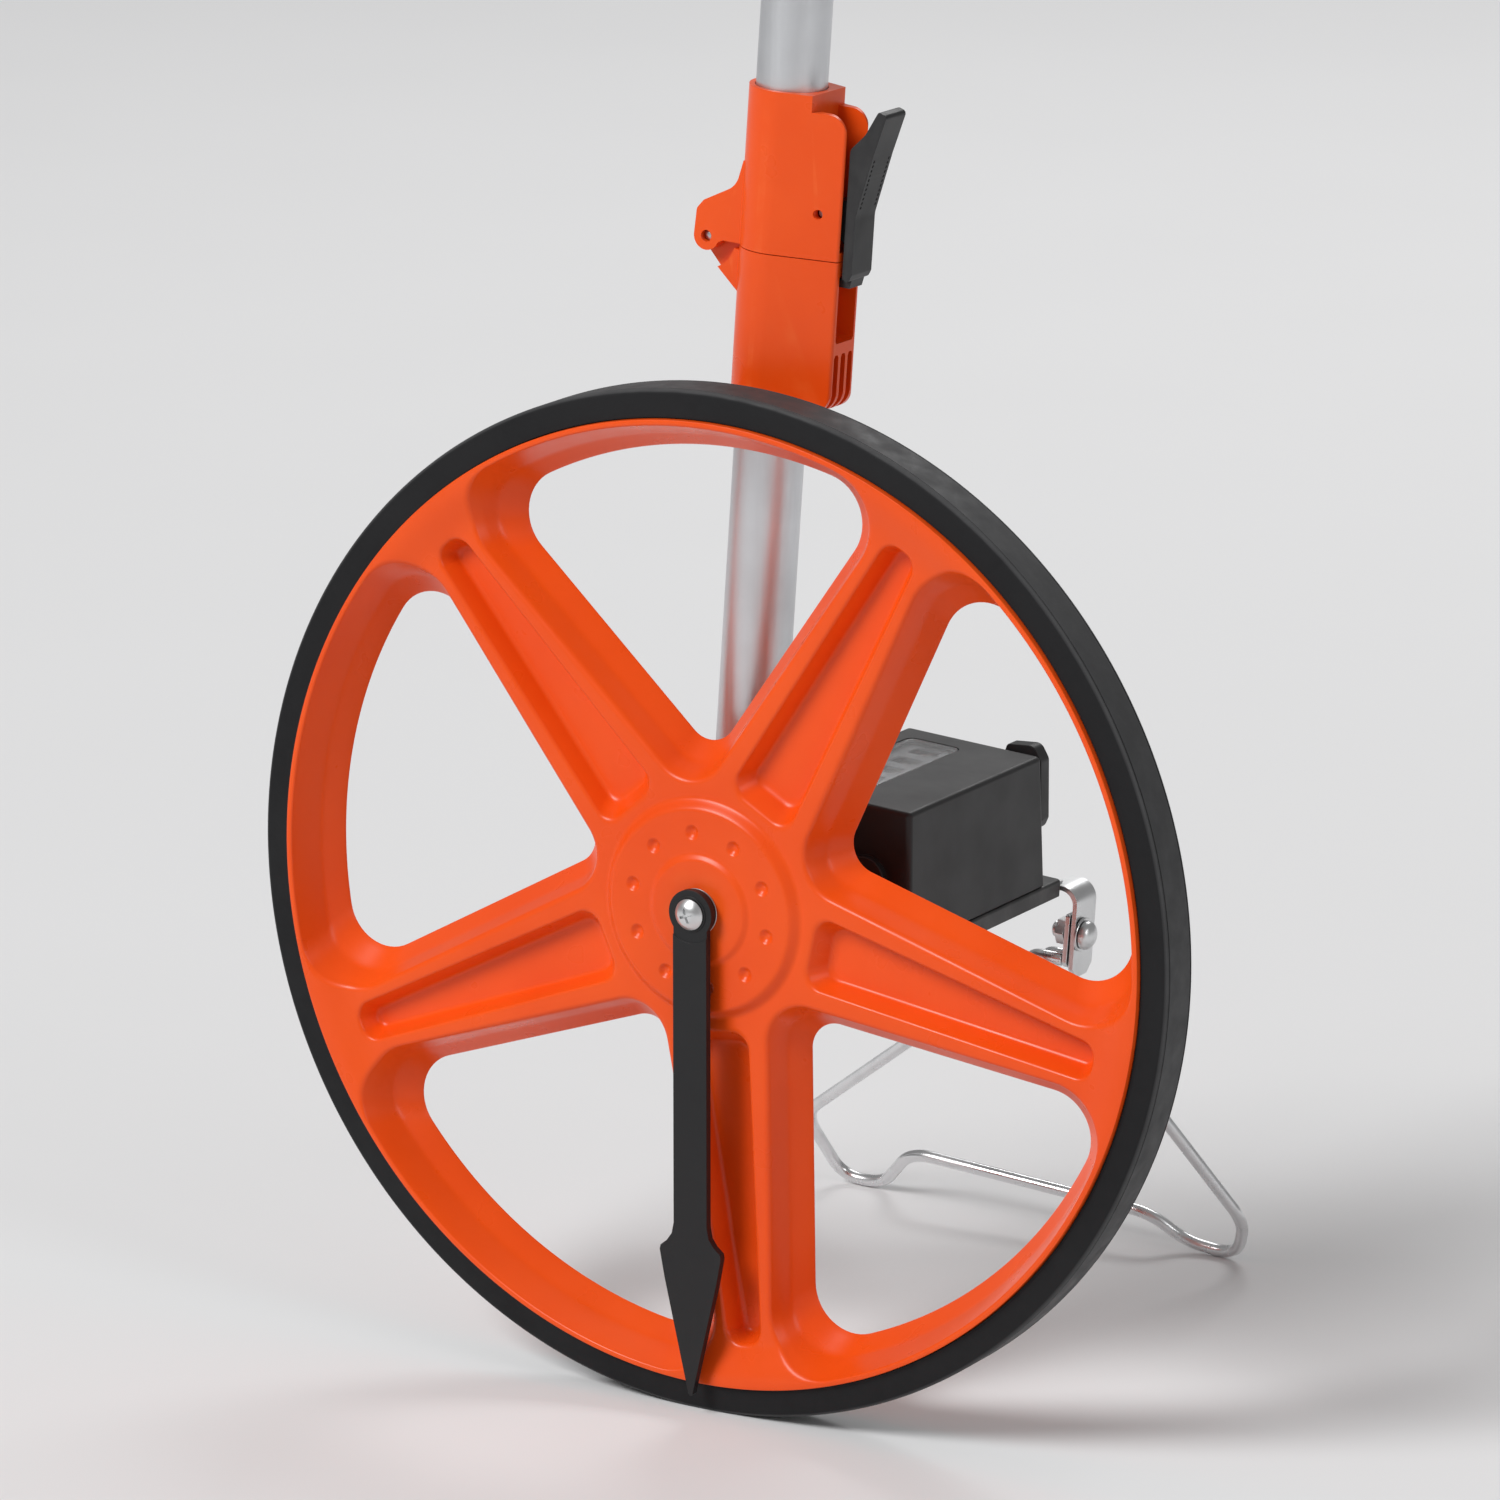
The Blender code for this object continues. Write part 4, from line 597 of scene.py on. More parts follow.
class Shell:
    """A closed mesh put together from loops of points (x, y, z) in millimetres."""

    def __init__(self):
        self.points = []
        self.faces = []

    def ring(self, points):
        """Add a loop of points and return their numbers."""
        start = len(self.points)
        self.points.extend(points)
        return list(range(start, len(self.points)))

    def strip(self, first, second):
        """Close the band between two loops of equal length."""
        count = len(first)
        for i in range(count):
            j = (i + 1) % count
            self.faces.append((first[i], first[j], second[j], second[i]))

    def chain(self, rings):
        """Close the bands between neighbours in a list of loops."""
        for first, second in zip(rings, rings[1:]):
            self.strip(first, second)

    def fill(self, loops, extra, height):
        """Triangulate between loops (an odd number of loops round a point means material)."""
        flat = []
        owner = []
        edges = []
        for loop in loops:
            base = len(flat)
            for index in loop:
                x, _, z = self.points[index]
                flat.append(Vector((x, z)))
                owner.append(index)
            edges.extend((base + k, base + (k + 1) % len(loop)) for k in range(len(loop)))
        border = np.array([[*flat[a], *flat[b]] for a, b in edges])
        flat.extend(Vector(point) for point in extra)
        owner.extend(None for _ in extra)
        verts, _, triangles, origins, _, _ = geometry.delaunay_2d_cdt(flat, edges, [], 0, 1e-5)
        index_of = []
        for vert, sources in zip(verts, origins):
            known = [owner[i] for i in sources if owner[i] is not None]
            if known:
                index_of.append(known[0])
            else:
                self.points.append((vert.x, height(vert.x, vert.y), vert.y))
                index_of.append(len(self.points) - 1)
        corners = np.array([[verts[i].x, verts[i].y] for tri in triangles for i in tri]).reshape(-1, 3, 2)
        inside = self.parity(corners.mean(axis=1), border)
        for keep, tri in zip(inside, triangles):
            if keep:
                self.faces.append(tuple(index_of[i] for i in tri))

    @staticmethod
    def parity(points, border):
        """True for the points that an odd number of loops go round."""
        x0, z0, x1, z1 = border.T
        px, pz = points[:, :1], points[:, 1:]
        crosses = (z0 > pz) != (z1 > pz)
        slope = (x1 - x0) / np.where(z1 == z0, 1e-12, z1 - z0)
        left = px < x0 + (pz - z0) * slope
        return (crosses & left).sum(axis=1) % 2 == 1

    def to_bmesh(self):
        """The mesh with its seams joined and its unused points dropped."""
        bm = bmesh.new()
        verts = [bm.verts.new(point) for point in self.points]
        for face in self.faces:
            bm.faces.new([verts[i] for i in face])
        bmesh.ops.remove_doubles(bm, verts=bm.verts, dist=SEAM)
        loose = [vert for vert in bm.verts if not vert.link_faces]
        bmesh.ops.delete(bm, geom=loose, context="VERTS")
        return bm


def soft_corner(shell, first, middle, last, steps):
    """Rings that leave the first loop, turn near the middle one and arrive at the last."""
    rings = []
    for t in (step / steps for step in range(steps + 1)):
        weights = ((1 - t) ** 2, 2 * t * (1 - t), t * t)
        rings.append(shell.ring([
            tuple(sum(w * value for w, value in zip(weights, values)) for values in zip(a, e, b))
            for a, e, b in zip(first, middle, last)
        ]))
    return rings


def opening_at(y, angle):
    """Outline of one gap between spokes at a depth."""
    return rotated(opening_outline(opening_growth(y)), angle)


def opening_rings(shell, angle):
    """Wall of one gap between spokes, from its rounded front edge to its rounded back edge."""
    levels = [-10.4 + 0.1 * i for i in range(40)]
    outlines = [opening_at(y, angle) for y in levels]
    front, edge, wall, start = [], [], [], []
    for k in range(len(outlines[0])):
        found = 0
        while levels[found + 1] < front_y(*outlines[found + 1][k]):
            found += 1
        low, high = (levels[i] - front_y(*outlines[i][k]) for i in (found, found + 1))
        t = -low / (high - low)
        x, z = Vector(outlines[found][k]).lerp(Vector(outlines[found + 1][k]), t)
        y = levels[found] + 0.1 * t
        outward = (Vector(outlines[0][k]) - Vector(outlines[-1][k])).normalized()
        radius = max(min(1.7, 0.55 * (LIP_R - math.hypot(x, z))), 0.2)
        ax, az = x + outward.x * radius, z + outward.y * radius
        front.append((ax, front_y(ax, az), az))
        edge.append((x, y, z))
        wall.append((x - outward.x * EDGE_SLOPE * radius, y + radius, z - outward.y * EDGE_SLOPE * radius))
        start.append(y + radius)
    rings = soft_corner(shell, front, edge, wall, 5)
    for share in (0.25, 0.5, 0.75, 1.0):
        depths = [y + (-0.4 - y) * share for y in start]
        table = {y: opening_at(y, angle) for y in {round(depth, 2) for depth in depths}}
        points = []
        for k, y in enumerate(depths):
            x, z = table[round(y, 2)][k]
            points.append((x, y, z))
        rings.append(shell.ring(points))
    back = [(y, opening_growth(y)) for y in (0.4, 1.0, 1.6, 2.4, 4.2, 6.0, 7.2)]
    back += [(7.6, 0.42), (7.88, 0.55), (8.0, 0.95)]
    for y, growth in back:
        rings.append(shell.ring([(x, y, z) for x, z in rotated(opening_outline(growth), angle)]))
    shell.chain(rings)
    return rings[0], rings[-1]


def pocket_outline(near_r, far_r, near_half, far_half, corner, inset):
    """Tapered pocket along +x, shrunk all round by inset."""
    near, far = near_r + 1.7 * inset, far_r - inset
    near_half, far_half = near_half - inset, far_half - inset
    near_corner = max(corner - 0.3 * inset, 0.6)
    far_corner = min(near_corner, 0.9 * far_half)
    right = rounded([(near, near_half), (far, far_half), (far, -far_half), (near, -near_half)],
                    (near_corner, far_corner, far_corner, near_corner), 7)
    quarter = len(right) // 4
    top = subdivide(right[quarter - 1], right[quarter], 24)
    end = subdivide(right[2 * quarter - 1], right[2 * quarter], 4)
    bottom = subdivide(right[3 * quarter - 1], right[3 * quarter], 24)
    base = subdivide(right[-1], right[0], 6)
    return (right[:quarter] + top + right[quarter:2 * quarter] + end + right[2 * quarter:3 * quarter] + bottom
            + right[3 * quarter:] + base)


def pocket_rings(shell, angle, shape, face, floor, inset_floor):
    """Walls of one pocket with soft top and floor corners; returns its rim loop after filling the floor."""
    depth_sign = 1.0 if floor > face(*rotated([(80.0, 0.0)], angle)[0]) else -1.0

    def level(inset, y):
        points = rotated(pocket_outline(*shape, inset), angle)
        return [(x, face(x, z) if y is None else y, z) for x, z in points]

    top = level(-1.0, None)
    rim = level(0.0, None)
    below = [(x, y + depth_sign * 1.0, z) for (x, y, z) in level(0.12 * inset_floor, None)]
    rings = soft_corner(shell, top, rim, below, 4)
    low = [(x, floor - depth_sign * 1.3, z) for x, _, z in level(0.78 * inset_floor, floor)]
    foot = level(inset_floor, floor)
    flat = level(inset_floor + 1.3, floor)
    rings += soft_corner(shell, low, foot, flat, 4)
    shell.chain(rings)
    shell.fill([rings[-1]], [], lambda x, z: floor)
    return rings[0]


def dimple_rings(shell, angle):
    """One round dimple on the hub face."""
    cx, cz = rotated([(24.0, 0.0)], angle)[0]
    rings = []
    for radius, depth in ((2.7, 0.0), (2.3, 0.12), (1.9, 0.45), (1.4, 0.85), (0.9, 1.12), (0.4, 1.24)):
        rings.append(shell.ring([(x, HUB_FACE_Y + depth, z) for x, z in circle(radius, 20, (cx, cz))]))
    shell.chain(rings)
    shell.fill([rings[-1]], [], lambda x, z: HUB_FACE_Y + 1.24)
    return rings[0]


def wheel_filler(openings):
    """Free points that carry the flare of the face where the spokes run into the rim."""
    walls = np.array([(x, z) for loop in openings for x, z in loop])
    points = []
    for radius in (36.0, 40.0, 133.0, 136.0, 138.5, 141.0, 143.0, 144.8, 146.2, 147.4, 148.6):
        count = int(TAU * radius / 2.2)
        for x, z in circle(radius, count):
            clear = np.hypot(walls[:, 0] - x, walls[:, 1] - z).min()
            if clear > 1.3:
                points.append((x, z))
    return points


def build_wheel():
    """Moulded wheel: spoked front face, drafted gaps, pockets, dimples, rim and hub."""
    shell = Shell()
    fronts, backs, pockets, back_pockets = [], [], [], []
    for index in range(SPOKE_COUNT):
        front, back = opening_rings(shell, FIRST_SPOKE + (index + 0.5) * SPOKE_PITCH)
        fronts.append(front)
        backs.append(back)
        spoke = FIRST_SPOKE + index * SPOKE_PITCH
        pockets.append(pocket_rings(shell, spoke, FRONT_POCKET, front_y, 0.0, 2.8))
        back_pockets.append(pocket_rings(shell, spoke, BACK_POCKET, lambda x, z: RIM_BACK, 3.2, 4.2))
    dimples = [dimple_rings(shell, FIRST_SPOKE + index * TAU / 10.0) for index in range(10)]
    hub = []
    for radius in (5.7, 14.6, 15.0, 15.4, 15.8, 16.2, 16.6, 17.0, 17.4, 17.8, 18.4, 30.2, 30.8, 31.4,
                   32.0, 32.7, 33.4, 34.0, 34.6, 35.2):
        hub.append(shell.ring([(x, front_y(x, z), z) for x, z in circle(radius, HUB_RING)]))
    for first, second in zip(hub, hub[1:]):
        if second is not hub[11]:
            shell.strip(first, second)
    shell.fill([hub[10], hub[11], *dimples], [], lambda x, z: HUB_FACE_Y)
    lip = shell.ring([(x, -10.0, z) for x, z in circle(LIP_R, RIM_RING)])
    opening_loops = [[(shell.points[i][0], shell.points[i][2]) for i in loop] for loop in fronts + pockets]
    shell.fill([lip, hub[-1], *fronts, *pockets], wheel_filler(opening_loops), front_y)

    rim_profile = [(150.05, -9.85), (RIM_R, -9.5), (RIM_R, -2.8), (147.8, -2.8), (147.8, 2.8), (RIM_R, 2.8),
                   (RIM_R, 7.5), (150.05, 7.85), (LIP_R, RIM_BACK)]
    rim = [lip] + [shell.ring([(x, y, z) for x, z in circle(radius, RIM_RING)]) for radius, y in rim_profile]
    shell.chain(rim)
    well_profile = [(32.0, RIM_BACK), (31.6, 7.8), (31.4, 7.3), (30.2, -5.0), (29.2, -6.0), (12.5, -6.0),
                    (11.5, -5.0), (11.5, 7.6), (11.1, RIM_BACK), (8.4, RIM_BACK), (8.4, 15.1), (8.0, 15.5),
                    (6.9, 15.5), (6.9, -5.5), (5.7, -5.5)]
    well = [shell.ring([(x, y, z) for x, z in circle(radius, HUB_RING)]) for radius, y in well_profile]
    for (radius, y), members in zip(well_profile, well):
        if radius > 7.6 and y > RIM_BACK:
            for i in members:
                x, _, z = shell.points[i]
                shell.points[i] = (max(-7.6, min(7.6, x)), y, z)
    shell.chain(well)
    shell.strip(well[-1], hub[0])
    shell.fill([rim[-1], well[0], *backs, *back_pockets], [], lambda x, z: RIM_BACK)
    wheel = bake("wheel_moulding", shell.to_bmesh(), WHEEL)
    finish_piece(wheel, "wheel", "orange_plastic", ORANGE, ["wheel_rim"], sharp=40.0)
    wheel.modifiers.new("flat_faces", "WEIGHTED_NORMAL").keep_sharp = True


def build_tyre():
    """Rubber tread band with rolled shoulders and a fine moulding groove beside each."""
    outer = AXLE.z / MM
    inner = RIM_R + 0.3
    half = 8.25
    back = [(inner, half), (inner + 0.5, half), (inner + 1.0, half - 0.12), (outer - 1.6, half - 0.22),
            (outer - 0.9, half - 0.35), (outer - 0.35, half - 0.75), (outer - 0.08, half - 1.2),
            (outer - 0.02, half - 1.5), (outer - 0.5, half - 1.62), (outer - 0.5, half - 2.02),
            (outer - 0.02, half - 2.14), (outer, half - 2.6)]
    front = [(radius, -y) for radius, y in reversed(back)]
    key = [(inner, -2.5), (RIM_R - 2.1, -2.5), (RIM_R - 2.1, 2.5), (inner, 2.5)]
    tyre = bake("tyre_band", lathe(back + front + key, RIM_RING), WHEEL)
    finish_piece(tyre, "wheel", "tyre", RUBBER, ["tyre"], sharp=50.0)


# --- fasteners ---------------------------------------------------------------------------------
RECESS_TURN = 0.35
SCREW_HOLE_R = 1.9


def cross_recess(obj, spot, normal, span, reach, half, space):
    """Cut a cross-head recess into a screw."""
    for angle in (RECESS_TURN, RECESS_TURN + math.pi / 2.0):
        bar = rotated([(-reach, -half), (reach, -half), (reach, half), (-reach, half)], angle)
        shape = [(a + spot[0], b + spot[1]) for a, b in bar]
        cut(obj, space, prism(shape, span, normal))


# --- pointer -----------------------------------------------------------------------------------
def build_pointer():
    """Flat moulded pointer with softened edges, its washer and its cross-head screw."""
    bar, tip_r, boss_r = 5.9, 152.7, 7.5
    right = [(bar, -98.0), (6.6, -101.5), (8.4, -104.0), (10.6, -105.8), (10.9, -107.2), (9.2, -116.0)]
    start = -math.acos(bar / boss_r)
    head = arc((0.0, 0.0), boss_r, math.pi - start, start, 48)
    tip = [(0.7, -tip_r + 0.6), (0.0, -tip_r), (-0.7, -tip_r + 0.6)]
    outline = head + right + tip + [(-x, z) for x, z in right[::-1]]
    pointer = bake("pointer_blade", prism(outline, (-15.1, -12.6)), WHEEL)
    add(pointer, WHEEL, rod(7.1, (-13.4, -11.5), 64))
    cut(pointer, WHEEL, rod(3.3, (-16.0, -10.5), 48), ring(5.5, 9.0, (-16.0, -14.75), 64))
    finish_piece(pointer, "pointer", "black_plastic", POINTER_BLACK, ["pointer"], 0.32)

    profile = [(0.0, -17.5), (1.0, -17.47), (2.0, -17.3), (3.0, -16.95), (3.9, -16.4), (4.5, -15.8),
               (4.8, -15.5), (4.8, -15.4), (3.0, -15.4), (3.0, -11.4), (2.0, -11.4), (2.0, -2.0), (0.0, -2.0)]
    screw = bake("pointer_screw_head", lathe(profile, 64), WHEEL)
    cross_recess(screw, (0.0, 0.0), "Y", (-18.5, -16.3), 2.3, 0.42, WHEEL)
    finish_piece(screw, "frame", "plated", PLATED, ["pointer_screw"], 0.1)
    washer = bake("pointer_washer_ring", ring(2.3, 7.2, (-11.2, -10.8), 64, edge=0.1), WHEEL)
    finish_piece(washer, "frame", "steel", STEEL, ["pointer_washer"])


# --- pole, fold joint and latch ----------------------------------------------------------------
TUBE_R = 10.75
TUBE_WALL = 1.15
BORE_R = TUBE_R + 0.3
SLEEVE_R = 12.7
HOUSING_FRONT = 23.5
HOUSING_HALF = 7.0
FOLD_SEAM = 196.55
FOLD_PIN = (-21.8, 197.6)
LATCH_PIN = (16.6, 210.6)
LEVER_HALF = 5.8
KNUCKLE_R = 4.3


def tube_piece(name, span, body, node):
    """Drawn tube with broken ends."""
    obj = bake(name, ring(TUBE_R - TUBE_WALL, TUBE_R, span, 128, "Z", edge=0.25), TUBE)
    finish_piece(obj, body, "tube", ALUMINIUM, [node])
    return obj


def joint_section():
    """Plan outline of the joint: a round sleeve with flat flanks running out to the latch face."""
    corner = Vector((HOUSING_FRONT, HOUSING_HALF))
    touch = math.atan2(corner.y, corner.x) + math.acos(SLEEVE_R / corner.length)
    sleeve = arc((0.0, 0.0), SLEEVE_R, touch, TAU - touch, 72)
    lower = arc((HOUSING_FRONT - 1.2, -HOUSING_HALF + 1.2), 1.2, -math.pi / 2.0, 0.0, 6)
    return sleeve + lower + [(u, -y) for u, y in reversed(lower)]


def cross_hole(radius, centre, segments):
    """Cutter for a pin hole right across the joint."""
    return rod(radius, (-10.0, 10.0), segments, "Y", centre)


def build_joint_lower():
    """Lower half of the fold joint with its knuckle and latch housing."""
    bottom = 147.0
    front = HOUSING_FRONT
    shell = bake("joint_lower_moulding", prism(joint_section(), (bottom, FOLD_SEAM), "Z"), TUBE)
    nose = arc((front - 7.0, bottom + 9.4), 7.0, 1.5 * math.pi, TAU, 20)
    nose += [(front + 3.0, bottom + 10.0), (front + 3.0, bottom - 3.0), (12.9, bottom - 3.0),
             (12.9, bottom + 2.4)]
    cut(shell, TUBE, prism(nose, (-20.0, 20.0)))
    knuckle = arc(FOLD_PIN, KNUCKLE_R, math.radians(45.0), math.radians(215.0), 28)
    web = [(-18.3, 187.8), (-12.0, 183.4), (-8.0, 180.0), (-8.0, FOLD_SEAM - 0.3), (-16.5, FOLD_SEAM - 0.3)]
    radii = (0.0,) * len(knuckle) + (3.0, 4.0, 0.0, 0.0, 0.0)
    cheek = arc(FOLD_PIN, 9.7, math.radians(-66.0), math.radians(-14.0), 14)
    cheek += [(-8.0, 194.6), (-8.0, 180.2), (-12.0, 183.6)]
    add(shell, TUBE, prism(rounded(knuckle + web, radii, 8), (-3.3, 3.3)), prism(cheek, (-7.0, 7.0)))
    window = rectangle((-5.2, 5.2), (171.5, 192.4), 1.1, 6)
    cut(shell, TUBE, rod(BORE_R, (bottom - 1.0, 188.5), 96, "Z"), cross_hole(1.8, FOLD_PIN, 32),
        prism(window, (14.0, front + 1.0), "X"), rod(7.0, (180.0, FOLD_SEAM + 2.0), 48, "Z"))
    for middle in (-4.0, 0.0, 4.0):
        slot_shape = [(middle - 1.3, bottom - 1.0), (middle + 1.3, bottom - 1.0), (middle + 1.3, 167.0),
                      (middle + 0.7, 168.0), (middle - 0.7, 168.0), (middle - 1.3, 167.0)]
        cut(shell, TUBE, prism(slot_shape, (15.5, front + 1.0), "X"))
    finish_piece(shell, "frame", "orange_plastic", ORANGE, ["joint_lower"], 0.45, 38.0)


def build_joint_upper():
    """Upper half of the fold joint with its ears and latch slot."""
    top = 246.0
    base = FOLD_SEAM + 0.3
    outside = HOUSING_FRONT + 3.0
    shell = bake("joint_upper_moulding", prism(joint_section(), (base, top), "Z"), TUBE)
    shoulder = [(outside, 233.0), (outside, top + 3.0), (12.9, top + 3.0), (12.9, 241.0)]
    shoulder += arc((HOUSING_FRONT - 6.0, 235.0), 6.0, math.pi / 2.0, 0.0, 16)
    cut(shell, TUBE, prism(shoulder, (-20.0, 20.0)))
    knuckle = arc(FOLD_PIN, KNUCKLE_R, math.radians(180.0), math.radians(340.0), 26)
    ear = knuckle + [(-16.0, base + 0.3), (-6.0, base + 0.3), (-6.0, 222.5), (-10.4, 222.5), (-12.4, 214.4),
                     (-23.4, 208.4), (-25.6, 205.6)]
    radii = (0.0,) * (len(knuckle) + 3) + (0.0, 7.0, 2.2, 1.6)
    add(shell, TUBE, prism(rounded(ear, radii, 10), (-8.0, 8.0)))
    lever_slot = LEVER_HALF + 0.3
    cut(shell, TUBE, block((-30.0, -12.9), (-3.6, 3.6), (185.0, 212.0)),
        rod(BORE_R, (203.0, top + 1.0), 96, "Z"), cross_hole(1.8, FOLD_PIN, 32),
        block((12.9, HOUSING_FRONT + 1.0), (-lever_slot, lever_slot), (199.5, top + 1.0)),
        cross_hole(1.45, LATCH_PIN, 24), rod(7.0, (base - 1.0, 205.0), 48, "Z"))
    finish_piece(shell, "upper_pole", "orange_plastic", ORANGE, ["joint_upper"], 0.45, 38.0)
    for name, radius, half, chamfer, centre, segments in (("fold_pin", 1.5, 6.6, 0.4, FOLD_PIN, 32),
                                                          ("latch_pin", 1.15, 6.2, 0.3, LATCH_PIN, 24)):
        pin = [(0.0, -half), (0.9, -half), (radius, chamfer - half), (radius, half - chamfer), (0.9, half),
               (0.0, half)]
        obj = bake(f"{name}_steel", lathe(pin, segments, "Y", centre), TUBE)
        finish_piece(obj, "upper_pole", "steel", STEEL, [name])


def build_latch_lever():
    """Squeeze lever that hooks the two halves of the joint together."""
    bend, flare = (27.9, 211.0), (32.6, 230.0)
    handle = rounded(
        [(24.3, 191.6), (26.8, 190.9), (27.9, 193.4), bend, flare, (36.4, 243.0), (33.2, 244.0),
         (29.0, 236.0), (24.3, 231.0)],
        (0.6, 1.4, 1.4, 8.0, 10.0, 1.3, 1.3, 8.0, 3.0), 8)
    lever = bake("latch_lever_moulding", prism(handle, (-LEVER_HALF, LEVER_HALF)), TUBE)
    boss = arc(LATCH_PIN, 3.4, math.radians(80.0), math.radians(270.0), 24)
    web = boss + [(21.6, 203.6), (24.6, 201.0), (24.6, 191.5), (20.8, 191.1), (20.8, 188.8), (26.2, 188.8),
                  (27.1, 192.5), (27.1, 211.0), (24.6, 215.4)]
    add(lever, TUBE, prism(web, (-3.7, 3.7)))
    cut(lever, TUBE, rod(1.45, (-8.0, 8.0), 24, "Y", LATCH_PIN))
    setback = [(22.0, 188.0), (25.5, 188.0), (25.5, 211.2), (30.1, 230.6), (34.0, 246.0), (22.0, 246.0)]
    for span in ((-LEVER_HALF - 1.0, -LEVER_HALF + 0.7), (LEVER_HALF - 0.7, LEVER_HALF + 1.0)):
        cut(lever, TUBE, prism(setback, span))
    slope = math.atan2(flare[0] - bend[0], flare[1] - bend[1])
    for row in range(11):
        run = 3.0 + row * 1.5
        for y in (-4.3, 4.3):
            place = Matrix.Translation((bend[0] + run * math.sin(slope), y, bend[1] + run * math.cos(slope)))
            dimple = bmesh.new()
            bmesh.ops.create_uvsphere(dimple, u_segments=12, v_segments=8, radius=0.5, matrix=place)
            cut(lever, TUBE, dimple)
    finish_piece(lever, "latch", "black_plastic", BLACK, ["latch_lever"], 0.3, 38.0)


def build_pole():
    """Both tubes, the rivet at the foot and the joint between them."""
    rivet_at = (0.0, 35.0)
    lower = tube_piece("lower_pole_tube", (15.3, 187.0), "frame", "lower_tube")
    cut(lower, TUBE, rod(2.3, (-20.0, 20.0), 32, "Y", rivet_at))
    tube_piece("upper_pole_tube", (203.4, 836.6), "upper_pole", "upper_tube")
    dome = [(0.0, 1.45), (1.2, 1.38), (2.2, 1.15), (3.0, 0.7), (3.4, 0.0), (2.0, 0.0)]
    profile = [(radius, -BORE_R - height) for radius, height in dome]
    profile += [(radius, BORE_R + height) for radius, height in dome[::-1]]
    rivet = bake("pole_rivet_head", lathe(profile, 32, "Y", rivet_at), TUBE)
    finish_piece(rivet, "frame", "rivet", STEEL, ["pole_rivet"])
    build_joint_lower()
    build_joint_upper()
    build_latch_lever()


# --- grip --------------------------------------------------------------------------------------
GRIP_HALF = 14.0
GRIP_FLANK = 9.0
GRIP_SCREWS = ((-13.2, 806.0), (-30.0, 846.0), (-72.0, 852.0))


def grip_outline():
    """Side view of the pistol grip, tube frame."""
    corners = [
        (15.5, 786.0), (16.5, 838.0), (4.0, 858.0), (-34.0, 866.0), (-84.0, 872.0), (-97.0, 866.0),
        (-97.0, 846.0), (-84.0, 838.0), (-40.0, 834.0), (-17.5, 822.0), (-15.5, 786.0),
    ]
    radii = (3.0, 14.0, 16.0, 60.0, 9.0, 6.0, 6.0, 9.0, 18.0, 16.0, 3.0)
    return rounded(corners, radii, 12)


def build_grip_half(name, side, node):
    """One moulded half of the grip: crowned side, tube bore, screw holes and hand grooves."""
    outline = grip_outline()
    crown = GRIP_HALF - GRIP_FLANK
    layers = [(0.5, 0.0), (GRIP_FLANK, 0.0)]
    layers += [(GRIP_FLANK + crown * math.sin(angle), crown * (1.0 - math.cos(angle)))
               for angle in (k * math.pi / 16.0 for k in range(1, 9))]
    inward = []
    for before, after in zip(outline[-1:] + outline[:-1], outline[1:] + outline[:1]):
        ahead = Vector(after) - Vector(before)
        inward.append(Vector((-ahead.y, ahead.x)).normalized())
    rings = []
    for depth, inset in layers:
        rings.append([(u + n.x * inset, side * depth, w + n.y * inset) for (u, w), n in zip(outline, inward)])
    half = bake(name, loft(rings), TUBE)
    cut(half, TUBE, rod(BORE_R, (780.0, 837.0), 96, "Z"))
    for spot in GRIP_SCREWS:
        cut(half, TUBE, rod(SCREW_HOLE_R, (-20.0, 20.0), 24, "Y", spot))
        if side < 0.0:
            cut(half, TUBE, rod(3.6, (-20.0, -9.1), 32, "Y", spot))
    for row in range(7):
        u = -44.0 - row * 5.5
        groove = rectangle((u - 1.0, u + 1.0), (842.0, 862.0), 0.9, 5)
        cut(half, TUBE, prism(groove, sorted((side * 13.3, side * 16.0))))
    finish_piece(half, "upper_pole", "grip_plastic", GRIP, [node], 0.3, 40.0)


def build_grip():
    """Both grip halves and the three screws that close them."""
    build_grip_half("grip_moulding_near", -1.0, "grip_shell_near")
    build_grip_half("grip_moulding_far", 1.0, "grip_shell_far")
    for index, spot in enumerate(GRIP_SCREWS, 1):
        profile = [(0.0, -11.9), (1.2, -11.85), (2.2, -11.6), (2.8, -11.2), (3.1, -10.7), (3.1, -9.4),
                   (1.5, -9.4), (1.5, 9.0), (0.0, 9.0)]
        screw = bake(f"grip_screw_head_{index}", lathe(profile, 32, "Y", spot), TUBE)
        cross_recess(screw, spot, "Y", (-12.8, -11.0), 1.7, 0.35, TUBE)
        finish_piece(screw, "upper_pole", "steel", STEEL, [f"grip_screw_{index}"])


# --- counter -----------------------------------------------------------------------------------
CASE_U = (2.0, 49.9)
CASE_Y = (27.3, 108.4)
CASE_W = (-9.7, 32.3)
CASE_SCREWS = ((7.5, 32.8), (46.5, 32.8), (7.5, 105.2), (46.5, 105.2))
WINDOW_U = (9.6, 25.6)
WINDOW_Y = (40.0, 97.4)
DRUM_AXIS = (17.6, 16.3)
DRUM_R = 12.0
DRUM_WIDTH = 9.6
DRUM_PITCH = 11.4
DRUM_COUNT = 5
DRUM_FIRST_Y = 41.5
CARRY_AXIS = (33.8, 16.3)
RESET_AXIS = (41.0, 14.0)
BOSS_AXIS = (36.4, 9.6)
DIGIT_SIZE = 7.6
DIGIT_HEIGHT = 5.3
DIGIT_THICK = 0.16
DIGIT_SUNK = 0.12


def grown(span, amount):
    """A span made longer by amount at both ends."""
    return (span[0] - amount, span[1] + amount)


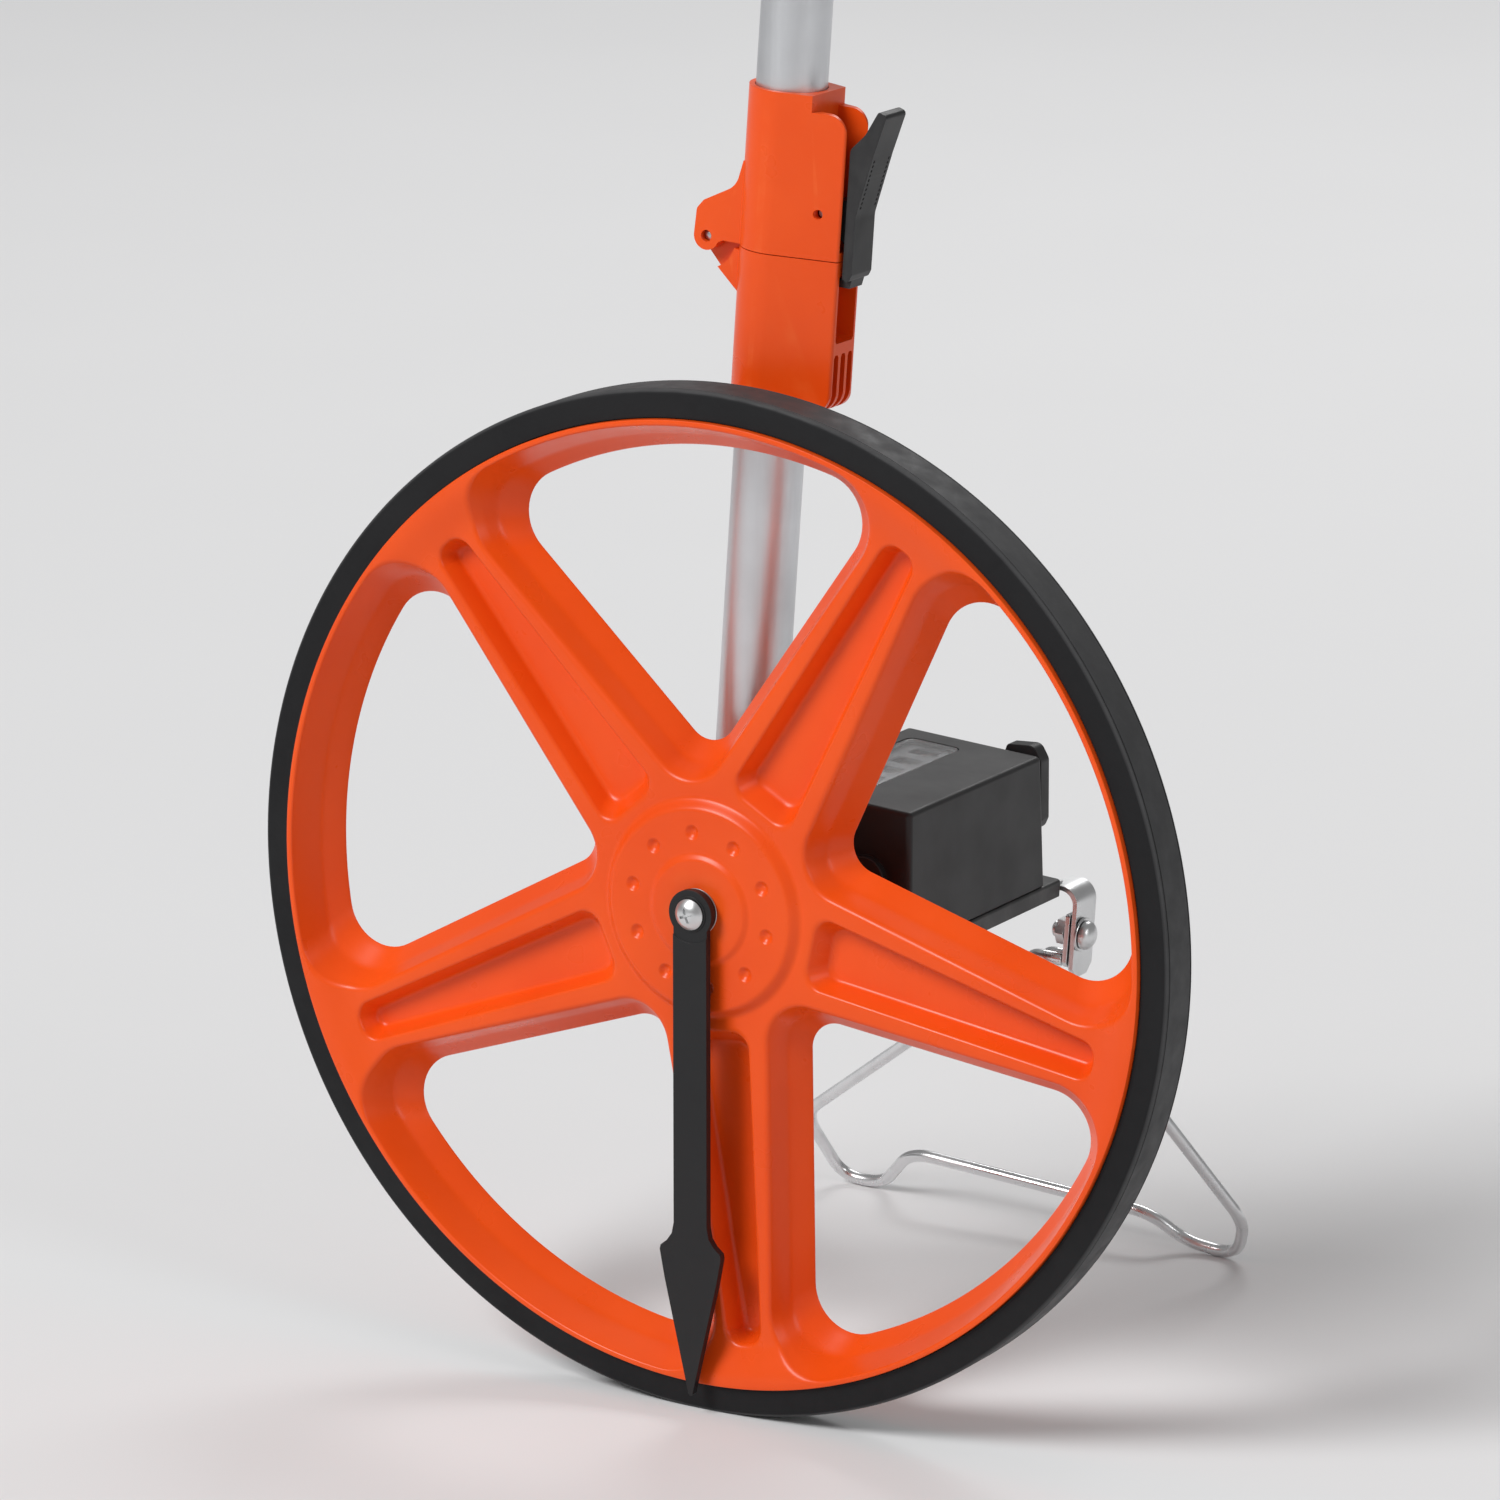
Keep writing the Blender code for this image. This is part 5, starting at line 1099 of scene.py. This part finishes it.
def case_ring(inset, w, corner):
    """One level of the case: a rounded rectangle that widens toward the foot."""
    fall = (CASE_W[1] - w) / (CASE_W[1] - CASE_W[0])
    u_span = (CASE_U[0] + inset, CASE_U[1] + 2.9 * fall - inset)
    y_span = (CASE_Y[0] + inset, CASE_Y[1] + 3.0 * fall - inset)
    return [(u, y, w) for u, y in rectangle(u_span, y_span, max(corner - inset, 0.3), 8)]


def build_case():
    """Counter housing with softly rounded edges, its window seat and its shaft boss."""
    soft = 1.5
    base, top = CASE_W
    levels = [case_ring(0.35, base, 1.8), case_ring(0.0, base + 0.35, 1.8), case_ring(0.0, 10.0, 1.8)]
    for step in range(9):
        angle = step * math.pi / 16.0
        levels.append(case_ring(soft * (1.0 - math.cos(angle)), top - soft * (1.0 - math.sin(angle)), 1.8))
    case = bake("counter_case_moulding", loft(levels), POLE)
    boss = [(0.0, 28.3), (7.0, 28.3), (7.0, 25.5), (6.8, 25.0), (6.3, 24.8), (0.0, 24.8)]
    add(case, POLE, lathe(boss, 96, "Y", BOSS_AXIS))
    hollow = loft([case_ring(2.0, base - 2.0, 2.6), case_ring(2.0, top - 2.0, 2.6)])
    cut(case, POLE, rod(2.6, (24.0, 25.6), 48, "Y", BOSS_AXIS), hollow)
    for u, y in CASE_SCREWS:
        add(case, POLE, block((u - 4.6, u + 4.6), (y - 4.6, y + 4.6), (base, 0.0)))
    seat = rectangle(grown(WINDOW_U, 1.5), grown(WINDOW_Y, 1.5), 3.2, 8)
    opening = rectangle(WINDOW_U, WINDOW_Y, 2.0, 8)
    cut(case, POLE, prism(seat, (top - 1.2, top + 1.0), "Z"), prism(opening, (top - 4.0, top + 1.0), "Z"))
    near, far = CASE_Y
    for radius, span, centre in (
        (2.4, (near - 1.0, near + 4.0), DRUM_AXIS), (2.4, (far - 4.0, far + 0.2), DRUM_AXIS),
        (1.5, (near + 0.6, near + 4.0), CARRY_AXIS), (1.5, (far - 4.0, far - 0.6), CARRY_AXIS),
        (2.8, (far - 4.0, far + 4.0), RESET_AXIS),
    ):
        cut(case, POLE, rod(radius, span, 48, "Y", centre))
    for spot in CASE_SCREWS:
        cut(case, POLE, rod(1.6, (base - 1.0, -2.0), 24, "Z", spot))
    finish_piece(case, "frame", "black_plastic", BLACK, ["counter_case"], 0.22, 38.0)


def build_window():
    """Clear lens in its seat and the silver mask with its scale ticks under it."""
    top = CASE_W[1]
    lens_shape = rectangle(grown(WINDOW_U, 1.2), grown(WINDOW_Y, 1.2), 2.9, 10)
    lens = bake("window_clear_lens", prism(lens_shape, (top - 0.9, top - 0.1), "Z"), POLE)
    finish_piece(lens, "frame", "lens", CLEAR, ["window_lens"], 0.18)
    mask_shape = rectangle(grown(WINDOW_U, 2.0), grown(WINDOW_Y, 2.0), 0.8, 4)
    mask = bake("window_silver_mask", prism(mask_shape, (top - 3.0, top - 2.3), "Z"), POLE)
    for index in range(DRUM_COUNT):
        middle = DRUM_FIRST_Y + DRUM_WIDTH / 2.0 + index * DRUM_PITCH
        slot_shape = rectangle(grown((DRUM_AXIS[0],) * 2, 4.6), grown((middle,) * 2, 3.4), 0.9, 5)
        cut(mask, POLE, prism(slot_shape, (top - 4.0, top - 1.0), "Z"))
    finish_piece(mask, "frame", "mask", CARD, ["window_mask"], 0.08)
    ticks = []
    tick_end = WINDOW_U[1] - 0.4
    for index in range(9):
        y = WINDOW_Y[1] - 2.2 - index * 1.1
        length = 2.4 if index % 4 == 0 else 1.4
        ticks.append(block((tick_end - length, tick_end), (y - 0.12, y + 0.12), (top - 2.35, top - 2.26)))
    scale = bake("window_scale_ticks", join(*ticks), POLE)
    finish_piece(scale, "frame", "black_plastic", INK_BLACK, [])


def figure(digit, drum_middle):
    """One raised digit wrapped round a drum, read from the grip side."""
    curve = bpy.data.curves.new("figure", "FONT")
    curve.body = str(digit)
    curve.size = DIGIT_SIZE
    curve.resolution_u = 5
    curve.align_x = "CENTER"
    carrier = bpy.data.objects.new("figure", curve)
    bpy.context.scene.collection.objects.link(carrier)
    depsgraph = bpy.context.evaluated_depsgraph_get()
    depsgraph.update()
    mesh = bpy.data.meshes.new_from_object(carrier.evaluated_get(depsgraph))
    bm = bmesh.new()
    bm.from_mesh(mesh)
    bpy.data.objects.remove(carrier, do_unlink=True)
    bpy.data.meshes.remove(mesh)
    bmesh.ops.remove_doubles(bm, verts=bm.verts, dist=SEAM)
    bmesh.ops.dissolve_limit(bm, angle_limit=0.01, verts=bm.verts, edges=bm.edges)
    for step in range(1, 10):
        everything = bm.verts[:] + bm.edges[:] + bm.faces[:]
        middle = (0.0, step * DIGIT_HEIGHT / 10.0, 0.0)
        bmesh.ops.bisect_plane(bm, geom=everything, plane_co=middle, plane_no=(0.0, 1.0, 0.0))
    extruded = bmesh.ops.extrude_face_region(bm, geom=bm.faces[:])
    lifted = [item for item in extruded["geom"] if isinstance(item, bmesh.types.BMVert)]
    bmesh.ops.translate(bm, verts=lifted, vec=(0.0, 0.0, DIGIT_THICK))
    start = digit * TAU / 10.0
    for vert in bm.verts:
        angle = start + (vert.co.y - DIGIT_HEIGHT / 2.0) / DRUM_R
        radius = DRUM_R - DIGIT_SUNK + vert.co.z
        vert.co = Vector((DRUM_AXIS[0] + radius * math.sin(angle), drum_middle - vert.co.x,
                          DRUM_AXIS[1] + radius * math.cos(angle)))
    return bm


def build_drums():
    """Figure drums with raised generic digits: the drum next to the wheel is red."""
    for index in range(DRUM_COUNT):
        number = index + 1
        body, shell, ink = f"drum_{number}", ("white_plastic", DRUM_WHITE), ("black_plastic", INK_BLACK)
        if index == 0:
            body, shell, ink = "count_shaft", ("red_plastic", DRUM_RED), ("white_plastic", INK_WHITE)
        low = DRUM_FIRST_Y + index * DRUM_PITCH
        high = low + DRUM_WIDTH
        profile = [(2.4, low), (11.2, low), (11.6, low + 0.5), (DRUM_R, low + 0.9), (DRUM_R, high - 0.9),
                   (11.6, high - 0.5), (11.2, high), (2.4, high)]
        drum = bake(f"drum_body_{number}", lathe(profile, 120, "Y", DRUM_AXIS), POLE)
        finish_piece(drum, body, *shell, [f"figure_drum_{number}"], sharp=30.0)
        digits = join(*[figure(digit, low + DRUM_WIDTH / 2.0) for digit in range(10)])
        finish_piece(bake(f"drum_figures_{number}", digits, POLE), body, *ink, [])


def build_reset_lever():
    """Thumb lever on the outer end of the case, with a ribbed thumb pad."""
    corners = [(36.8, 7.4), (48.6, 7.4), (50.0, 11.0), (48.6, 30.0), (45.6, 34.4), (36.2, 33.2), (35.4, 30.2),
               (37.6, 25.0)]
    outline = rounded(corners, (3.5, 2.5, 2.0, 3.0, 3.0, 1.4, 1.4, 4.0), 10)
    low, high = CASE_Y[1] + 2.2, CASE_Y[1] + 7.4
    lever = bake("reset_lever_moulding", prism(outline, (low, high)), POLE)
    add(lever, POLE, rod(2.5, (CASE_Y[1] - 3.0, CASE_Y[1] + 4.0), 48, "Y", RESET_AXIS))
    dish = rounded([(39.4, 10.6), (46.4, 10.6), (46.0, 24.0), (39.9, 24.0)], (2.6,) * 4, 8)
    cut(lever, POLE, prism(dish, (high - 0.5, high + 1.0)))
    finish_piece(lever, "reset", "black_plastic", BLACK, ["reset_lever"], 0.5, 38.0)


# --- tray and stand ----------------------------------------------------------------------------
TRAY_U = (-22.0, 53.0)
TRAY_Y = (22.0, 122.0)
TRAY_TOP = -10.0
TRAY_SHEET = 1.2
PLATE_TOP = TRAY_TOP - TRAY_SHEET - 0.3
PLATE_SHEET = 1.6
FOOT_SCREWS = ((-16.0, 27.4), (-16.0, 38.5))
PLATE_RIVETS = ((25.0, 114.4), (37.0, 114.4))
STAND_AXIS = (126.0, -27.8)
BOLT_HOLE_R = 2.8
WIRE_R = 2.0
BEND_R = 18.0
STAND_SLOPE = math.radians(33.2)


def build_tray():
    """Folded sheet tray, rounded along its folds."""
    fold = 1.0
    levels = [[(u, y, TRAY_TOP - 5.4) for u, y in rectangle(TRAY_U, TRAY_Y, 1.6, 6)]]
    for step in range(7):
        angle = step * math.pi / 12.0
        inset = fold * (1.0 - math.cos(angle))
        w = TRAY_TOP - fold * (1.0 - math.sin(angle))
        shape = rectangle(grown(TRAY_U, -inset), grown(TRAY_Y, -inset), 1.6 - inset, 6)
        levels.append([(u, y, w) for u, y in shape])
    tray = bake("tray_sheet", loft(levels), POLE)
    inner = rectangle(grown(TRAY_U, -TRAY_SHEET), (TRAY_Y[0] + TRAY_SHEET, TRAY_Y[1] + 3.0), 0.6, 4)
    cut(tray, POLE, prism(inner, (TRAY_TOP - 7.4, TRAY_TOP - TRAY_SHEET), "Z"))
    for spot in CASE_SCREWS + FOOT_SCREWS + PLATE_RIVETS:
        cut(tray, POLE, rod(SCREW_HOLE_R, (TRAY_TOP - 3.0, TRAY_TOP + 2.0), 32, "Z", spot))
    finish_piece(tray, "frame", "black_sheet", PAINT, ["tray"], 0.2, 38.0)


def build_tray_screws():
    """Pan-head screws under the tray and the two rivets of the stand bracket."""
    base = TRAY_TOP - TRAY_SHEET - 0.2
    names = [(f"case_screw_{i}", spot) for i, spot in enumerate(CASE_SCREWS, 1)]
    names += [(f"foot_screw_{i}", spot) for i, spot in enumerate(FOOT_SCREWS, 1)]
    for node, spot in names:
        profile = [(0.0, base - 1.9), (1.6, base - 1.85), (2.5, base - 1.5), (3.0, base - 0.9), (3.2, base),
                   (1.3, base), (1.3, -3.6), (0.9, -3.0), (0.0, -3.0)]
        screw = bake(f"{node}_head", lathe(profile, 32, "Z", spot), POLE)
        cross_recess(screw, spot, "Z", (base - 3.0, base - 1.0), 1.7, 0.35, POLE)
        finish_piece(screw, "frame", "steel", STEEL, [node])
    under = PLATE_TOP - PLATE_SHEET - 0.2
    over = TRAY_TOP + 0.2
    for index, spot in enumerate(PLATE_RIVETS, 1):
        profile = [(0.0, under - 1.9), (1.6, under - 1.75), (2.6, under - 1.2), (3.2, under), (1.3, under),
                   (1.3, over), (2.8, over), (2.6, over + 0.5), (1.8, over + 0.9), (0.0, over + 1.0)]
        rivet = bake(f"bracket_rivet_head_{index}", lathe(profile, 32, "Z", spot), POLE)
        finish_piece(rivet, "frame", "rivet", STEEL, [f"bracket_rivet_{index}"])


def build_stand_bracket():
    """Folded steel strip from the tray down to the stand's pivot bolt."""
    face, bottom = 58.8, -42.0
    across = (50.0, 62.0)
    plate = (PLATE_TOP - PLATE_SHEET, PLATE_TOP)
    strip_top = PLATE_TOP - 0.9
    outer = rounded([(49.6, strip_top), (face, strip_top), (face, bottom), (face - PLATE_SHEET, bottom),
                     (face - PLATE_SHEET, strip_top - PLATE_SHEET), (49.6, strip_top - PLATE_SHEET)],
                    (0.0, 6.0, 0.0, 0.0, 4.4, 0.0), 16)
    strip = bake("stand_bracket_strip", prism(outer, (122.3, 134.8)), POLE)
    add(strip, POLE, block((20.0, 51.4), (109.2, 125.5), plate))
    cut(strip, POLE, block((19.0, 44.9), (120.8, 127.0), grown(plate, 1.0)))
    high, low = bottom + 4.3, bottom - 1.7
    for corner in ([(121.0, high), (127.0, low), (121.0, low)], [(136.0, high), (136.0, low), (130.0, low)]):
        cut(strip, POLE, prism(corner, across, "X"))
    cut(strip, POLE, rod(BOLT_HOLE_R, across, 48, "X", STAND_AXIS))
    for spot in PLATE_RIVETS:
        cut(strip, POLE, rod(SCREW_HOLE_R, (PLATE_TOP - 4.0, PLATE_TOP + 2.0), 32, "Z", spot))
    finish_piece(strip, "frame", "plated", PLATED, ["stand_bracket"], 0.22, 38.0)


def build_stand_bolt():
    """Pivot bolt, washer and nut."""
    profile = [(0.0, 49.6), (2.1, 49.6), (2.5, 50.1), (2.5, 60.3), (4.6, 60.3), (4.6, 61.1), (4.35, 61.9),
               (3.8, 62.6), (2.9, 63.2), (1.6, 63.7), (0.0, 63.9)]
    bolt = bake("stand_bolt_head", lathe(profile, 64, "X", STAND_AXIS), POLE)
    finish_piece(bolt, "frame", "plated", PLATED, ["stand_bolt"], sharp=32.0)
    washer = bake("stand_washer_ring", ring(BOLT_HOLE_R, 5.4, (59.1, 60.0), 64, "X", STAND_AXIS, 0.15), POLE)
    finish_piece(washer, "frame", "plated", PLATED, ["stand_washer"])
    nut = bake("stand_nut_hex", prism(circle(4.6, 6, STAND_AXIS), (51.6, 54.8), "X"), POLE)
    cut(nut, POLE, rod(BOLT_HOLE_R, (48.0, 56.0), 48, "X", STAND_AXIS))
    finish_piece(nut, "frame", "plated", PLATED, ["stand_nut"], 0.25, 38.0)


def slope_point(u, run):
    """A point of the stand's plane: run is measured from the pivot down the slope."""
    return (u, STAND_AXIS[0] + run * math.sin(STAND_SLOPE), STAND_AXIS[1] - run * math.cos(STAND_SLOPE))


def foot_run(u):
    """Run down the slope at which the wire touches the ground at a given u."""
    ground_w = (-AXLE.z / MM + WIRE_R + u * math.sin(LEAN)) / math.cos(LEAN)
    return (STAND_AXIS[1] - ground_w) / math.cos(STAND_SLOPE)


def bent_path(points, radii, steps):
    """Open 3-D path with each inner corner rounded to its bend radius."""
    path = [Vector(points[0])]
    for before, corner, after, radius in zip(points, points[1:], points[2:], radii):
        corner = Vector(corner)
        back = Vector(before) - corner
        ahead = Vector(after) - corner
        half = back.angle(ahead) / 2.0
        reach = min(radius / math.tan(half), 0.48 * back.length, 0.48 * ahead.length)
        first = corner + back.normalized() * reach
        last = corner + ahead.normalized() * reach
        for step in range(steps + 1):
            t = step / steps
            path.append(first * (1.0 - t) ** 2 + corner * (2.0 * t * (1.0 - t)) + last * t ** 2)
    path.append(Vector(points[-1]))
    return path


def wire(path, radius, sides):
    """Round wire along a path, as a closed bmesh with softened ends."""
    normal = (path[1] - path[0]).orthogonal().normalized()
    angles = [TAU * k / sides for k in range(sides)]
    last = len(path) - 1
    ends = {0: ((0.0, 0.75), (0.35, 1.0)), last: ((-0.35, 1.0), (0.0, 0.75))}
    rings = []
    for index, point in enumerate(path):
        tangent = (path[min(index + 1, last)] - path[max(index - 1, 0)]).normalized()
        normal = (normal - tangent * normal.dot(tangent)).normalized()
        side = tangent.cross(normal)
        for shift, scale in ends.get(index, ((0.0, 1.0),)):
            centre = point + tangent * shift
            rings.append([tuple(centre + (normal * math.cos(a) + side * math.sin(a)) * radius * scale)
                          for a in angles])
    return loft(rings)


def build_stand():
    """Swinging tab and the wire loop welded to it."""
    tab_shape = rounded([(121.8, -21.2), (133.4, -21.2), (133.4, -35.6), (130.0, -38.6), (123.0, -38.6),
                         (121.4, -36.8)], (0.8,) * 6, 4)
    tab = bake("stand_tab_plate", prism(tab_shape, (55.2, 56.8), "X"), POLE)
    cut(tab, POLE, rod(BOLT_HOLE_R, (50.0, 60.0), 48, "X", STAND_AXIS))
    finish_piece(tab, "stand", "plated", PLATED, ["stand_tab"], 0.15, 38.0)
    left, right, crossbar = -66.0, 73.0, 137.8
    corners = [
        (54.9, 123.2, -36.4), (45.0, 123.4, -36.8), slope_point(-77.0, 131.0),
        slope_point(left - 4.0, foot_run(left)), slope_point(left + 12.0, foot_run(left) - 1.0),
        slope_point(-38.0, crossbar), slope_point(52.5, crossbar),
        slope_point(right - 10.0, foot_run(right) - 1.0), slope_point(right + 9.0, foot_run(right)),
        slope_point(88.5, 130.0), slope_point(46.5, 32.0), (45.5, 128.2, -36.8), (54.9, 127.9, -36.4),
    ]
    radii = [6.0] + [BEND_R] * (len(corners) - 4) + [6.0]
    loop = bake("stand_wire_loop", wire(bent_path(corners, radii, 12), WIRE_R, 28), POLE)
    finish_piece(loop, "stand", "plated", WIRE, ["stand_wire"], sharp=60.0)


# --- pieces that keep their CAD mesh -----------------------------------------------------------
def dress_cad_node(node, material, edge):
    """Give a CAD node its own finish and break its edges."""
    obj = NODES[node]
    obj.data.materials.clear()
    obj.data.materials.append(material)
    round_edges(obj, edge, 2, 38.0)


def dress_cad_nodes():
    """Finish the small inner pieces whose CAD mesh is kept."""
    for node, edge in (("axle", 0.12), ("axle_grub_screw", 0.1), ("carry_shaft", 0.1), ("drum_shaft", 0.15)):
        dress_cad_node(node, STEEL, edge)
    dress_cad_node("axle_bracket", CAST, 0.35)
    dress_cad_node("hub_bush", BRONZE, 0.15)
    for node in ("drive_gear", "driven_gear"):
        dress_cad_node(node, NATURAL, 0.12)
    for index in range(1, 5):
        dress_cad_node(f"carry_pinion_{index}", NATURAL, 0.08)


# --- stage -------------------------------------------------------------------------------------
CAMERA_PLACE = Vector((1.2159, -1.9868, 0.6480))
CAMERA_AZIMUTH = math.radians(31.21)
CAMERA_ELEVATION = math.radians(14.45)
CAMERA_LENS = 192.0
CAMERA_SENSOR = 36.0
WORLD_LIGHT = 0.26
WORLD_SEEN = 0.72
FLOOR_RADIUS = 30.0


def add_to_stage(name, data):
    """Object of the stage, outside the part."""
    obj = bpy.data.objects.new(name, data)
    bpy.context.scene.collection.objects.link(obj)
    return obj


def floor_material():
    """Pale matt studio floor."""
    s = Shader("studio_floor", (0.78, 0.78, 0.785), 0.75, specular=0.1)
    s.roughness(s.remap(s.noise(6.0, 2.0), 0.3, 0.7, 0.7, 0.8))
    return s.material


def build_floor():
    """Wide level floor."""
    bm = bmesh.new()
    bmesh.ops.create_circle(bm, cap_ends=True, radius=FLOOR_RADIUS, segments=64)
    mesh = bpy.data.meshes.new("floor")
    bm.to_mesh(mesh)
    bm.free()
    mesh.materials.append(floor_material())
    add_to_stage("floor", mesh)


def area_light(name, place, target, size, power):
    """Soft rectangular light aimed at a point."""
    lamp = bpy.data.lights.new(name, "AREA")
    lamp.shape = "RECTANGLE"
    lamp.size, lamp.size_y = size
    lamp.energy = power
    obj = add_to_stage(name, lamp)
    obj.location = place
    obj.rotation_mode = "QUATERNION"
    obj.rotation_quaternion = (Vector(place) - Vector(target)).to_track_quat("Z", "Y")


def sun_light(name, direction, strength, spread):
    """Even soft light from one side of the sky."""
    lamp = bpy.data.lights.new(name, "SUN")
    lamp.energy = strength
    lamp.angle = spread
    obj = add_to_stage(name, lamp)
    obj.rotation_mode = "QUATERNION"
    obj.rotation_quaternion = Vector(direction).to_track_quat("Z", "Y")


def build_world():
    """Even white surroundings, brighter to the eye than as a light."""
    world = bpy.data.worlds.new("studio")
    world.use_nodes = True
    tree = world.node_tree
    background = tree.nodes["Background"]
    background.inputs["Color"].default_value = (1.0, 1.0, 1.0, 1.0)
    seen = tree.nodes.new("ShaderNodeLightPath").outputs["Is Camera Ray"]
    strength = tree.nodes.new("ShaderNodeMapRange")
    strength.inputs["To Min"].default_value = WORLD_LIGHT
    strength.inputs["To Max"].default_value = WORLD_SEEN
    tree.links.new(seen, strength.inputs["Value"])
    tree.links.new(strength.outputs["Result"], background.inputs["Strength"])
    bpy.context.scene.world = world


def build_camera():
    """Long-lens camera, looking down on the wheel's face from its right."""
    azimuth, elevation = CAMERA_AZIMUTH, CAMERA_ELEVATION
    level = math.cos(elevation)
    back = Vector((math.sin(azimuth) * level, -math.cos(azimuth) * level, math.sin(elevation)))
    lens = bpy.data.cameras.new("camera")
    lens.sensor_width = CAMERA_SENSOR
    lens.lens = CAMERA_LENS
    lens.clip_end = 100.0
    camera = bpy.data.objects.new("camera", lens)
    camera.location = AXLE + CAMERA_PLACE
    camera.rotation_mode = "QUATERNION"
    camera.rotation_quaternion = back.to_track_quat("Z", "Y")
    bpy.context.scene.collection.objects.link(camera)
    bpy.context.scene.camera = camera


build_wheel()
build_tyre()
build_pointer()
build_pole()
build_grip()
build_case()
build_window()
build_drums()
build_reset_lever()
build_tray()
build_tray_screws()
build_stand_bracket()
build_stand_bolt()
build_stand()
dress_cad_nodes()

build_world()
build_floor()
build_camera()
sun_light("sky_key", (-0.35, -0.75, 0.75), 1.5, math.radians(25.0))
area_light("key", (-0.9, -2.5, 2.3), (0.0, 0.0, 0.2), (1.1, 1.1), 34.0)
area_light("fill", (2.8, -0.8, 1.4), (0.0, 0.0, 0.2), (0.9, 1.4), 12.0)
area_light("rim", (-0.6, 2.4, 2.4), (0.0, 0.0, 0.25), (1.6, 1.0), 26.0)
bpy.context.scene.view_settings.view_transform = "Standard"
